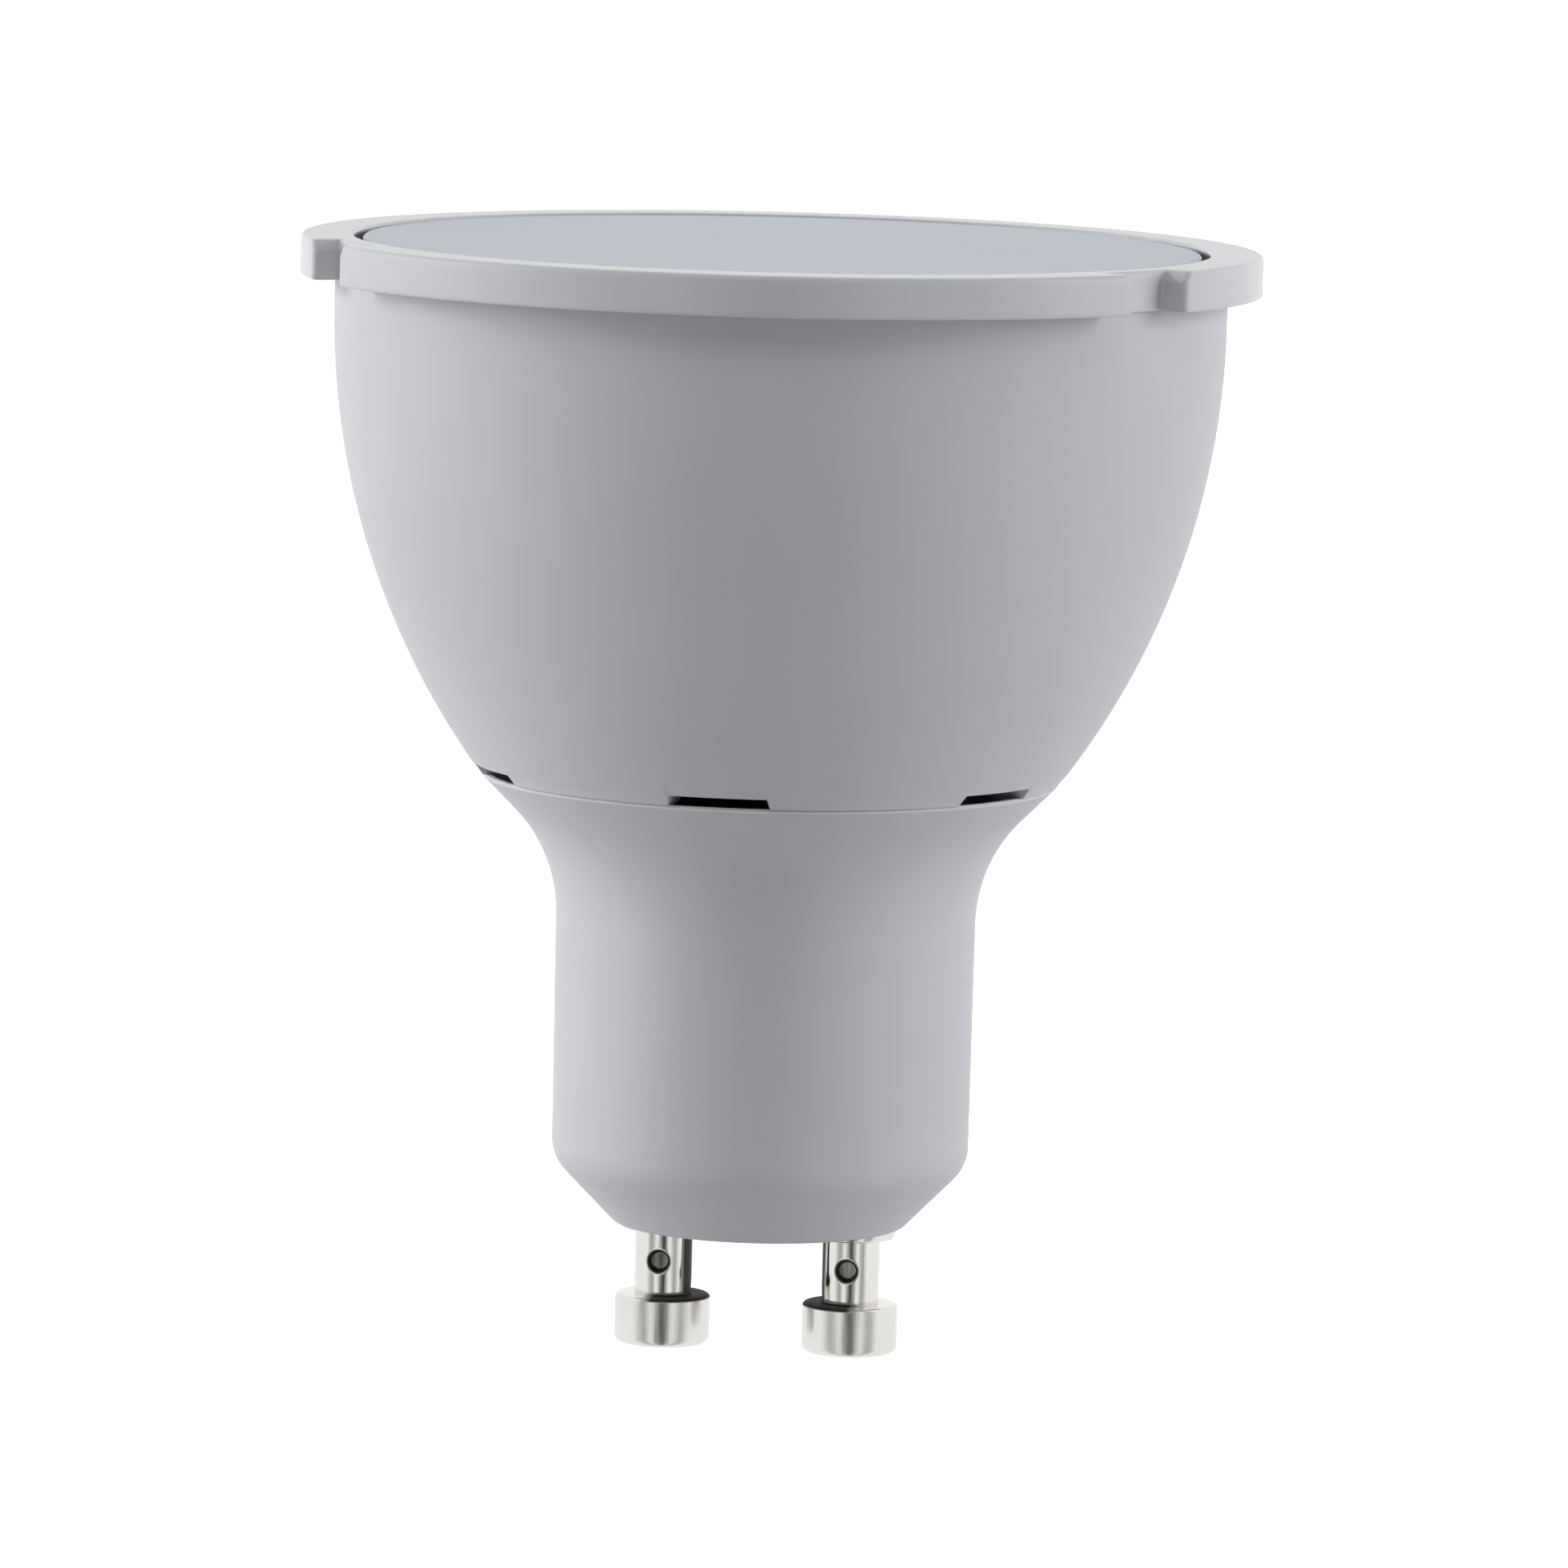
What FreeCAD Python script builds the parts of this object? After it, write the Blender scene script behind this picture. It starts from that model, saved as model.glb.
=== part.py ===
import FreeCAD, Part
import math
import os

# A GU10 spotlight lamp with light-emitting diodes, standing on its two contact pins with the
# lens up. The origin is on the lamp's axis, level with the undersides of the pins' feet.
# X runs through both pins, and minus Y is the side of the middle vent slot. All sizes in mm.

os.makedirs("parts", exist_ok=True)

Vector = FreeCAD.Vector
UP = Vector(0, 0, 1)

# Contact pins: two turned and plated studs that twist into the lamp holder
pin_pitch = 10.0
foot_radius = 2.5
foot_height = 2.6
foot_edge = 0.4
stem_radius = 1.5
stem_length = 3.6
collar_radius = 2.2
collar_thickness = 0.95
shank_radius = 1.7
rivet_radius = 2.2
rivet_height = 0.4
pin_bore_radius = 0.65
pin_bore_floor = 1.0
crimp_height = 1.85
crimp_mouth_radius = 0.65
crimp_floor_radius = 0.42
crimp_depth = 0.5
pin_fit = 0.05

# Base housing: the neck with its floor, flared to meet the cup
collar_recess = 0.5
collar_gap = 0.2
pin_edge_distance = 6.0
neck_wall = 1.3
base_height = 23.55
base_chamfer = 3.35
base_edge = 0.45
base_shoulder = 2.2
neck_draft = 0.08
floor_thickness = 2.7
flare_angle = 45.0
flare_radius = 8.0
flare_step = 4.17

# Upper housing: the cup, with vent slots in its lower edge
cup_height = 25.8
cup_straight = 1.7
cup_wall = 1.4
seam_land_width = 1.8
seam_land_height = 1.8
seam_break = 0.12
mouth_wall = 1.1
mouth_depth = 3.1
vent_count = 6
vent_width = 5.4
vent_height = 0.45
vent_end_slope = 0.25
vent_lip = 0.5
vent_relief = 1.0

# Spigot tabs on the base, which snap behind the cup's land
spigot_fit = 0.15
spigot_thickness = 1.2
spigot_bead = 0.35
spigot_bead_height = 0.8
spigot_lead_in = 0.3
spigot_vent_gap = 0.6

# Front ring: the bezel that closes the cup and carries the lens
rim_radius = 25.0
rim_overhang = 1.8
rim_height = 2.1
rim_edge = 0.18
rim_border = 2.75
lens_recess = 0.15
lens_thickness = 1.1
gasket_thickness = 0.2
gasket_gap = 0.05
lens_gap = 0.45
lens_edge = 0.2
lens_rib_width = 0.5
lens_rib_height = 0.7
lens_rib_fit = 0.1
lens_seat_width = 1.1
skirt_fit = 0.1
skirt_length = 2.8
skirt_bead = 0.25
notch_count = 3
notch_width = 4.2
notch_depth = 1.5
notch_chamfer = 0.5

# Heat spreader: a pressed aluminium cup, upside down, that wedges into the housing
spreader_fit = 0.1
spreader_wall = 1.2
spreader_plate = 1.5
spreader_drop = 9.5
spreader_foot_gap = 1.0
spreader_bend = 1.2

# Board of light-emitting diodes on the spreader
pad_thickness = 0.3
pad_margin = 1.2
led_board_margin = 3.0
led_board_thickness = 1.2
led_length = 3.5
led_width = 2.8
led_height = 0.75
led_window_radius = 1.05
led_window_depth = 0.12
led_edge_margin = 3.5
led_outer_count = 12
led_pad_gap = 0.7
led_inner_count = 6
screw_count = 2
screw_radius = 0.95
screw_length = 4.6
screw_head_radius = 1.8
screw_head_height = 1.3
screw_slot_width = 0.45
screw_slot_length = 2.2
screw_slot_depth = 0.6
screw_fit = 0.05
lead_hole_radius = 2.3
grommet_wall = 0.7
grommet_fit = 0.05
grommet_lip = 1.0
grommet_lip_height = 0.5

# Driver board, upright in the neck between two pairs of ribs
board_thickness = 1.0
board_height = 24.5
board_side_gap = 0.4
board_corner = 1.0
board_slide_fit = 0.1
board_stand_off = 4.0
guide_rib_width = 1.0
guide_rib_reach = 1.3
guide_rib_length = 14.0
guide_rib_root = 0.2

# Parts on the driver board
choke_gap = 0.4
choke_lift = 0.8
choke_height = 7.0
choke_flange = 1.1
choke_core_radius = 1.9
choke_winding_gap = 0.4
choke_winding_fit = 0.02
can_large_radius = 4.0
can_large_length = 11.5
can_large_shift = 1.3
can_overhang = 0.6
can_small_radius = 3.15
can_small_length = 10.0
can_small_shift = 0.2
can_groove_depth = 0.35
can_groove_height = 1.6
film_width = 9.0
film_depth = 4.0
film_height = 7.5
film_edge = 0.6
film_lift = 1.0
resistor_radius = 1.5
resistor_length = 8.0
resistor_cap = 1.3
resistor_cap_step = 0.15
resistor_inset = 3.1
bridge_width = 4.7
bridge_depth = 1.5
bridge_height = 4.0
chip_width = 4.9
chip_depth = 1.5
chip_height = 3.9
chip_lift = 9.0
package_inset = 4.65
diode_width = 2.6
diode_depth = 2.1
diode_height = 4.2
diode_shift = 2.6
small_resistor_width = 2.0
small_resistor_depth = 0.55
small_resistor_height = 1.25
small_resistor_count = 5
small_resistor_inset = 1.5
leg_width = 0.5
leg_reach = 1.0
leg_thickness = 0.2
part_gap = 0.2

# Leads inside the lamp
lead_radius = 0.6
lead_pitch = 1.7
lead_bend_share = 0.45
lead_bend_limit = 1.8
lead_landing = 4.4
lead_arch = 1.5
lead_stand = 2.4
solder_radius = 1.0
solder_height = 0.7
supply_pad_lift = 3.3
output_pad_inset = 4.65
output_pad_drop = 2.0
output_pad_pitch = 2.4

# Heights and radii that follow from the sizes above
collar_z = foot_height + stem_length
collar_top_z = collar_z + collar_thickness
base_face_z = collar_top_z - collar_recess
base_floor_z = base_face_z + floor_thickness
neck_radius = pin_pitch / 2 + pin_edge_distance
bore_radius = neck_radius - neck_wall
seam_z = base_face_z + base_height
seam_radius = neck_radius + flare_step
land_radius = seam_radius - seam_land_width
land_top_z = seam_z + seam_land_height
cup_rim_z = seam_z + cup_height
cup_tangent_z = cup_rim_z - cup_straight
cup_rim_radius = rim_radius - rim_overhang
cup_bulge = cup_rim_radius - seam_radius
cup_rise = cup_tangent_z - seam_z
cup_arc_radius = (cup_bulge ** 2 + cup_rise ** 2) / (2 * cup_bulge)
mouth_radius = cup_rim_radius - mouth_wall
rim_top_z = cup_rim_z + rim_height
rim_opening_radius = rim_radius - rim_border
notch_floor_radius = rim_radius - notch_depth
lens_top_z = rim_top_z - lens_recess
lens_under_z = lens_top_z - lens_thickness
lens_seat_z = lens_under_z - gasket_thickness
spreader_top_z = cup_rim_z - spreader_drop
spreader_under_z = spreader_top_z - spreader_plate
spreader_foot_z = land_top_z + spreader_foot_gap
led_board_z = spreader_top_z + pad_thickness
led_face_z = led_board_z + led_board_thickness
board_bottom_z = base_floor_z + board_stand_off
board_top_z = board_bottom_z + board_height
board_half_width = bore_radius - board_side_gap
board_face_y = board_thickness / 2
choke_radius = pin_pitch / 2 - lead_radius - choke_gap
choke_z = board_bottom_z + choke_lift + choke_radius
choke_top_z = choke_z + choke_radius
output_pad_z = board_top_z - output_pad_drop


def cup_radius(height, inset=0.0):
    """Radius of the cup's outer face at a height, or of a face that lies inset behind it."""
    drop = max(cup_tangent_z - height, 0.0)
    arc_centre = cup_rim_radius - cup_arc_radius
    return arc_centre + math.sqrt((cup_arc_radius - inset) ** 2 - drop ** 2)


led_board_radius = cup_radius(spreader_top_z, cup_wall + spreader_fit) - led_board_margin
led_outer_ring = led_board_radius - led_edge_margin
led_inner_ring = lead_landing + solder_radius + led_pad_gap + led_width / 2


def at(point):
    """A point of a half-section, given as radius and height."""
    return Vector(point[0], 0, point[1])


def cup_arc(start_z, end_z, inset=0.0):
    """The middle and the end of the cup's arc from one height to another."""
    middle_z = (start_z + end_z) / 2
    middle = (cup_radius(middle_z, inset), middle_z)
    return middle, (cup_radius(end_z, inset), end_z)


def half_section(steps):
    """A flat face from its corners. A step of two points is an arc: its middle and its end."""
    edges = []
    here = steps[0]
    for step in steps[1:]:
        if isinstance(step[0], tuple):
            middle, end = step
            edges.append(Part.Arc(at(here), at(middle), at(end)).toShape())
        else:
            end = step
            edges.append(Part.makeLine(at(here), at(end)))
        here = end
    edges.append(Part.makeLine(at(here), at(steps[0])))
    return Part.Face(Part.Wire(edges))


def rounded_section(corners):
    """A flat face from corners of radius, height and rounding, with a tangent arc at each."""
    edges = []
    joints = []
    for index, (radius, height, rounding) in enumerate(corners):
        corner = at((radius, height))
        before = at(corners[index - 1][:2]) - corner
        after = at(corners[(index + 1) % len(corners)][:2]) - corner
        if rounding == 0:
            joints.append((corner, corner))
            continue
        half_angle = before.getAngle(after) / 2
        before.normalize()
        after.normalize()
        reach = rounding / math.tan(half_angle)
        inward = before + after
        inward.normalize()
        middle = corner + inward * (rounding / math.sin(half_angle) - rounding)
        start = corner + before * reach
        end = corner + after * reach
        edges.append(Part.Arc(start, middle, end).toShape())
        joints.append((start, end))
    for index, (start, end) in enumerate(joints):
        leaving = joints[index - 1][1]
        if leaving.distanceToPoint(start) > 1e-6:
            edges.append(Part.makeLine(leaving, start))
    return Part.Face(Part.Wire(Part.__sortEdges__(edges)))


def turned(face):
    """A solid of revolution about the lamp's axis."""
    return face.revolve(Vector(0, 0, 0), UP, 360)


def round_disc(radius, low_z, high_z, x=0.0, y=0.0):
    """An upright cylinder between two heights."""
    return Part.makeCylinder(radius, high_z - low_z, Vector(x, y, low_z))


def around(shape, angle):
    """A copy of a shape, turned about the lamp's axis by an angle in degrees."""
    copy = shape.copy()
    copy.rotate(Vector(0, 0, 0), UP, angle)
    return copy


def pattern(shape, count, first_angle=0.0):
    """Copies of a shape, evenly spaced about the lamp's axis."""
    return [around(shape, first_angle + index * 360.0 / count) for index in range(count)]


def block(width, depth, height, centre_x, low_z, side, lift=0.0):
    """A box on the driver board: side is -1 on its front and 1 on its back."""
    near = board_face_y + lift
    low_y = near if side > 0 else -near - depth
    return Part.makeBox(width, depth, height, Vector(centre_x - width / 2, low_y, low_z))


def wire_run(points, radius):
    """A round wire through points: straight runs, joined by tangent arcs."""
    edges = []
    leaving = points[0]
    for before, corner, after in zip(points, points[1:], points[2:]):
        backward = before - corner
        forward = after - corner
        room = lead_bend_share * min(backward.Length, forward.Length)
        reach = min(room, lead_bend_limit)
        half_angle = backward.getAngle(forward) / 2
        backward.normalize()
        forward.normalize()
        inward = backward + forward
        inward.normalize()
        bend = reach * math.tan(half_angle)
        middle = corner + inward * (bend / math.sin(half_angle) - bend)
        start = corner + backward * reach
        end = corner + forward * reach
        edges.append(Part.makeLine(leaving, start))
        edges.append(Part.Arc(start, middle, end).toShape())
        leaving = end
    edges.append(Part.makeLine(leaving, points[-1]))
    direction = points[1] - points[0]
    profile = Part.Wire(Part.makeCircle(radius, points[0], direction))
    return Part.Wire(edges).makePipeShell([profile], True, False)


def contact_pin(centre_x):
    """A turned stud: foot, stem, collar and shank, riveted over inside and crimped on its lead."""
    rivet_z = base_floor_z
    body = turned(rounded_section([
        (0, 0, 0),
        (foot_radius, 0, foot_edge),
        (foot_radius, foot_height, foot_edge / 2),
        (stem_radius, foot_height, 0),
        (stem_radius, collar_z, 0),
        (collar_radius, collar_z, foot_edge / 2),
        (collar_radius, collar_top_z, 0),
        (shank_radius, collar_top_z, 0),
        (shank_radius, rivet_z, 0),
        (rivet_radius, rivet_z, 0),
        (rivet_radius, rivet_z + rivet_height, rivet_height / 2),
        (pin_bore_radius, rivet_z + rivet_height, 0),
        (pin_bore_radius, foot_height + pin_bore_floor, 0),
        (0, foot_height + pin_bore_floor, 0),
    ]))
    for side in (-1, 1):
        mouth = Vector(0, side * stem_radius, foot_height + crimp_height)
        inward = Vector(0, -side, 0)
        dimple = Part.makeCone(crimp_mouth_radius, crimp_floor_radius, crimp_depth, mouth, inward)
        body = body.cut(dimple)
    body.translate(Vector(centre_x, 0, 0))
    return body


def snap_tabs():
    """The ring of tabs that rises from the base into the cup, open at each vent slot."""
    outer = land_radius - spigot_fit
    inner = outer - spigot_thickness
    mouth = seam_radius - neck_wall / math.cos(math.radians(flare_angle))
    root_z = seam_z - (mouth - inner) / math.tan(math.radians(flare_angle)) - spigot_lead_in
    bead_z = land_top_z + spigot_fit
    top_z = bead_z + spigot_bead_height + spigot_lead_in
    ring = turned(half_section([
        (inner, root_z),
        (outer, root_z),
        (outer, bead_z),
        (outer + spigot_bead, bead_z),
        (outer, bead_z + spigot_bead_height),
        (outer, top_z),
        (inner + spigot_lead_in, top_z),
        (inner, top_z - spigot_lead_in),
    ]))
    gap_width = vent_width + 2 * spigot_vent_gap
    low_z = seam_z - vent_relief
    corner = Vector(-gap_width / 2, -1.5 * outer, low_z)
    gap = Part.makeBox(gap_width, outer, top_z - low_z, corner)
    for cutter in pattern(gap, vent_count):
        ring = ring.cut(cutter)
    return ring


def vent_pocket():
    """The cutter that thins the base's edge to a lip at one vent, so that air gets in."""
    slope = math.tan(math.radians(flare_angle))
    low_z = seam_z - vent_relief
    lip_radius = seam_radius - vent_lip
    inner = land_radius - spigot_fit - spigot_thickness
    ring = turned(half_section([
        (inner, low_z),
        (lip_radius - vent_relief / slope, low_z),
        (lip_radius, seam_z),
        (inner, seam_z),
    ]))
    corner = Vector(-vent_width / 2, -seam_radius, low_z)
    return ring.common(Part.makeBox(vent_width, seam_radius, vent_relief, corner))


def board_guide(side):
    """Two upright ribs on one side of the neck, with a step between them for the board."""
    reach = bore_radius - guide_rib_reach
    groove = board_face_y + board_slide_fit
    width = guide_rib_reach + guide_rib_root
    low_x = reach if side > 0 else -reach - width
    floor_y = -groove - guide_rib_width
    full_width = 2 * (groove + guide_rib_width)
    guide = Part.makeBox(width, full_width, guide_rib_length, Vector(low_x, floor_y, base_floor_z))
    corner = Vector(low_x, -groove, board_bottom_z)
    slot = Part.makeBox(width, 2 * groove, guide_rib_length, corner)
    return guide.cut(slot)


def base_housing():
    """The moulded neck: recessed floor for the pins, ribs for the board, and snap tabs."""
    slope = math.tan(math.radians(flare_angle))
    set_back = neck_wall / math.cos(math.radians(flare_angle))
    corner_shift = neck_wall * math.tan(math.radians(flare_angle) / 2)
    outer_corner_z = seam_z - (seam_radius - neck_radius) / slope
    bottom_shift = neck_wall * (math.sqrt(2) - 1)
    shoulder_z = base_face_z + base_chamfer
    floor_corner = bore_radius - (shoulder_z + bottom_shift - base_floor_z)
    shell = turned(rounded_section([
        (0, base_face_z, 0),
        (neck_radius - base_chamfer, base_face_z, base_edge),
        (neck_radius - neck_draft, shoulder_z, base_shoulder),
        (neck_radius, outer_corner_z, flare_radius),
        (seam_radius - seam_break, seam_z - seam_break / slope, 0),
        (seam_radius - 2 * seam_break, seam_z, 0),
        (seam_radius - set_back, seam_z, 0),
        (bore_radius, outer_corner_z + corner_shift, flare_radius + neck_wall),
        (bore_radius, shoulder_z + bottom_shift, 0),
        (floor_corner, base_floor_z, 0),
        (0, base_floor_z, 0),
    ]))
    for pocket in pattern(vent_pocket(), vent_count):
        shell = shell.cut(pocket)
    shell = shell.fuse([snap_tabs(), board_guide(-1), board_guide(1)])
    for side in (-1, 1):
        x = side * pin_pitch / 2
        hole = round_disc(shank_radius + pin_fit, base_face_z, base_floor_z, x)
        recess = round_disc(collar_radius + collar_gap, base_face_z, collar_top_z, x)
        shell = shell.cut(hole.fuse(recess))
    return shell.removeSplitter()


def vent_slot():
    """The cutter for one vent: a low trapezoid, wider at the seam, on the minus Y side."""
    half = vent_width / 2
    below = seam_z - vent_height
    widening = vent_end_slope
    corners = [
        Vector(-half - widening, 0, below),
        Vector(half + widening, 0, below),
        Vector(half - widening, 0, seam_z + vent_height),
        Vector(-half + widening, 0, seam_z + vent_height),
    ]
    face = Part.Face(Part.makePolygon(corners + corners[:1]))
    face.translate(Vector(0, -land_radius / 2, 0))
    return face.extrude(Vector(0, -seam_radius, 0))


def upper_housing():
    """The moulded cup: an arc that turns upright at the rim, with a land and a rebated mouth."""
    rebate_z = cup_rim_z - mouth_depth
    shell = turned(half_section([
        (land_radius, seam_z),
        (seam_radius - seam_break, seam_z),
        (cup_radius(seam_z + seam_break), seam_z + seam_break),
        cup_arc(seam_z + seam_break, cup_tangent_z),
        (cup_rim_radius, cup_rim_z),
        (mouth_radius, cup_rim_z),
        (mouth_radius, rebate_z),
        (cup_radius(rebate_z, cup_wall), rebate_z),
        cup_arc(rebate_z, land_top_z, cup_wall),
        (land_radius, land_top_z),
    ]))
    for slot in pattern(vent_slot(), vent_count):
        shell = shell.cut(slot)
    return shell


def rim_notch():
    """The cutter for one notch of the rim: a flat-sided channel, chamfered at the top face."""
    half = notch_width / 2
    flare = half + notch_chamfer
    above = rim_top_z + notch_chamfer
    chamfer_z = rim_top_z - notch_chamfer
    corners = [
        Vector(-half, 0, cup_rim_z - notch_chamfer),
        Vector(half, 0, cup_rim_z - notch_chamfer),
        Vector(half, 0, chamfer_z),
        Vector(flare, 0, rim_top_z),
        Vector(flare, 0, above),
        Vector(-flare, 0, above),
        Vector(-flare, 0, rim_top_z),
        Vector(-half, 0, chamfer_z),
    ]
    face = Part.Face(Part.makePolygon(corners + corners[:1]))
    channel = face.extrude(Vector(0, -2 * rim_radius, 0))
    return channel.cut(round_disc(notch_floor_radius, cup_rim_z - rim_height, above + rim_height))


def bezel_ring():
    """The front ring: flange with three notches, lens seat, and a skirt that snaps in the cup."""
    skirt_outer = mouth_radius - skirt_fit
    seat_radius = rim_opening_radius - lens_seat_width
    skirt_z = cup_rim_z - skirt_length
    bead_z = skirt_z + 2 * skirt_bead
    ring = turned(rounded_section([
        (skirt_outer - skirt_bead, skirt_z, 0),
        (skirt_outer, bead_z, 0),
        (skirt_outer, cup_rim_z, 0),
        (rim_radius, cup_rim_z, rim_edge),
        (rim_radius, rim_top_z, rim_edge),
        (rim_opening_radius, rim_top_z, rim_edge),
        (rim_opening_radius, lens_seat_z, 0),
        (seat_radius, lens_seat_z, 0),
        (seat_radius, skirt_z, 0),
    ]))
    for notch in pattern(rim_notch(), notch_count, 180.0 / notch_count):
        ring = ring.cut(notch)
    return ring


def lens_gasket():
    """The thin black ring that seals the lens on its seat and shows in the gap round it."""
    inner = rim_opening_radius - lens_seat_width + gasket_gap
    outer = rim_opening_radius - gasket_gap
    ring = round_disc(outer, lens_seat_z, lens_under_z)
    return ring.cut(round_disc(inner, lens_seat_z, lens_under_z))


def diffuser_lens():
    """The frosted disc, with a rib underneath that centres it in the ring's seat."""
    edge_radius = rim_opening_radius - lens_gap
    rib_outer = rim_opening_radius - lens_seat_width - lens_rib_fit
    rib_inner = rib_outer - lens_rib_width
    rib_z = lens_under_z - lens_rib_height
    return turned(rounded_section([
        (0, lens_under_z, 0),
        (rib_inner, lens_under_z, 0),
        (rib_inner, rib_z, 0),
        (rib_outer, rib_z, 0),
        (rib_outer, lens_under_z, 0),
        (edge_radius, lens_under_z, 0),
        (edge_radius, lens_top_z, lens_edge),
        (0, lens_top_z, 0),
    ]))


def screw_places():
    """The screws' places, in the inner ring and midway between its diodes."""
    angles = [math.radians(90 + index * 360.0 / screw_count) for index in range(screw_count)]
    return [(led_inner_ring * math.cos(angle), led_inner_ring * math.sin(angle))
            for angle in angles]


def drilled(shape, low_z, high_z):
    """The shape with its screw holes and the hole for the leads."""
    for x, y in screw_places():
        shape = shape.cut(round_disc(screw_radius + screw_fit, low_z, high_z, x, y))
    return shape.cut(round_disc(lead_hole_radius, low_z, high_z))


def heat_spreader():
    """The pressed aluminium cup: a plate for the board and a skirt along the housing."""
    outside = cup_wall + spreader_fit
    inside = outside + spreader_wall
    shell = turned(half_section([
        (0, spreader_under_z),
        (cup_radius(spreader_under_z, inside), spreader_under_z),
        cup_arc(spreader_under_z, spreader_foot_z, inside),
        (cup_radius(spreader_foot_z, outside), spreader_foot_z),
        cup_arc(spreader_foot_z, spreader_top_z, outside),
        (0, spreader_top_z),
    ]))
    rim = [edge for edge in shell.Edges
           if len(edge.Vertexes) == 1 and abs(edge.CenterOfMass.z - spreader_top_z) < 1e-6]
    shell = shell.makeFillet(spreader_bend, rim)
    return drilled(shell, spreader_under_z, spreader_top_z)


def thermal_pad():
    """The soft sheet between the spreader and the board."""
    sheet = round_disc(led_board_radius - pad_margin, spreader_top_z, led_board_z)
    return drilled(sheet, spreader_top_z, led_board_z)


def led_board():
    """The metal-cored disc that carries the diodes, with two notches for the tool that sets it."""
    disc = round_disc(led_board_radius, led_board_z, led_face_z)
    for side in (-1, 1):
        disc = disc.cut(round_disc(lead_hole_radius / 2, led_board_z, led_face_z,
                                   side * led_board_radius))
    return drilled(disc, led_board_z, led_face_z)


def led_packages():
    """Surface-mounted diodes in two rings, each with a round window in its top."""
    packages = []
    rings = [
        (led_outer_ring, led_outer_count, 180.0 / led_outer_count),
        (led_inner_ring, led_inner_count, 0.0),
    ]
    for ring_radius, count, first_angle in rings:
        corner = Vector(ring_radius - led_width / 2, -led_length / 2, led_face_z)
        body = Part.makeBox(led_width, led_length, led_height, corner)
        top_z = led_face_z + led_height
        window = round_disc(led_window_radius, top_z - led_window_depth, top_z, ring_radius)
        packages += pattern(body.cut(window), count, first_angle)
    return Part.Compound(packages)


def board_screws():
    """Two pan-head screws with a cross recess."""
    head_top = led_face_z + screw_head_height
    screws = []
    for x, y in screw_places():
        screw = turned(rounded_section([
            (0, led_face_z - screw_length, 0),
            (screw_radius, led_face_z - screw_length, screw_radius / 3),
            (screw_radius, led_face_z, 0),
            (screw_head_radius, led_face_z, 0),
            (screw_head_radius, head_top, screw_head_height / 2),
            (0, head_top, 0),
        ]))
        corner = Vector(-screw_slot_length / 2, -screw_slot_width / 2, head_top - screw_slot_depth)
        slot = Part.makeBox(screw_slot_length, screw_slot_width, screw_slot_depth, corner)
        screw = screw.cut(slot.fuse(around(slot, 90)))
        screw.translate(Vector(x, y, 0))
        screws.append(screw)
    return Part.Compound(screws)


def lead_grommet():
    """The silicone bush that lines the leads' hole, with a lip above and below."""
    outer = lead_hole_radius - grommet_fit
    lip = outer + grommet_lip
    inner = outer - grommet_wall
    return turned(half_section([
        (inner, spreader_under_z - grommet_lip_height),
        (outer + grommet_lip / 2, spreader_under_z - grommet_lip_height),
        (lip, spreader_under_z),
        (outer, spreader_under_z),
        (outer, led_face_z),
        (lip, led_face_z),
        (outer + grommet_lip / 2, led_face_z + grommet_lip_height),
        (inner, led_face_z + grommet_lip_height),
    ]))


def driver_board():
    """The upright board, its four corners cut at an angle."""
    half = board_half_width
    cut = board_corner
    corners = [
        (-half + cut, board_bottom_z), (half - cut, board_bottom_z),
        (half, board_bottom_z + cut), (half, board_top_z - cut),
        (half - cut, board_top_z), (-half + cut, board_top_z),
        (-half, board_top_z - cut), (-half, board_bottom_z + cut),
    ]
    points = [Vector(x, -board_face_y, z) for x, z in corners]
    face = Part.Face(Part.makePolygon(points + points[:1]))
    return face.extrude(Vector(0, board_thickness, 0))


def standing_on_board(shape, x, z):
    """A shape turned about Z, set with its axis square to the board's front face."""
    shape.rotate(Vector(0, 0, 0), Vector(1, 0, 0), 90)
    shape.translate(Vector(x, -board_face_y, z))
    return shape


def choke_core():
    """The ferrite drum of the choke, on the board's front."""
    return standing_on_board(turned(half_section([
        (0, 0), (choke_radius, 0), (choke_radius, choke_flange),
        (choke_core_radius, choke_flange), (choke_core_radius, choke_height - choke_flange),
        (choke_radius, choke_height - choke_flange), (choke_radius, choke_height),
        (0, choke_height),
    ])), 0, choke_z)


def choke_winding():
    """The copper winding, wound between the drum's flanges."""
    low = choke_flange + choke_winding_fit
    high = choke_height - choke_flange - choke_winding_fit
    inner = choke_core_radius + choke_winding_fit
    outer = choke_radius - choke_winding_gap
    return standing_on_board(turned(half_section([
        (inner, low), (outer, low), (outer, high), (inner, high),
    ])), 0, choke_z)


def capacitor_can(radius, length, centre_x, low_z, side):
    """An electrolytic capacitor that lies along the board, with the groove near its foot."""
    groove_z = low_z + can_groove_height
    can = turned(rounded_section([
        (0, low_z, 0),
        (radius, low_z, can_groove_depth),
        (radius, groove_z - can_groove_depth, 0),
        (radius - can_groove_depth, groove_z, 0),
        (radius, groove_z + can_groove_depth, 0),
        (radius, low_z + length, can_groove_depth),
        (0, low_z + length, 0),
    ]))
    can.translate(Vector(centre_x, side * (board_face_y + radius), 0))
    return can


def input_capacitor():
    """The large smoothing capacitor, which stands proud of the board's top edge."""
    x = can_large_shift - can_large_radius
    low_z = board_top_z + can_overhang - can_large_length
    return capacitor_can(can_large_radius, can_large_length, x, low_z, -1)


def output_capacitor():
    """The small smoothing capacitor on the board's back, above the film capacitor."""
    low_z = board_bottom_z + film_lift + film_height + can_groove_height
    x = can_small_radius - can_small_shift
    return capacitor_can(can_small_radius, can_small_length, x, low_z, 1)


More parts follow.
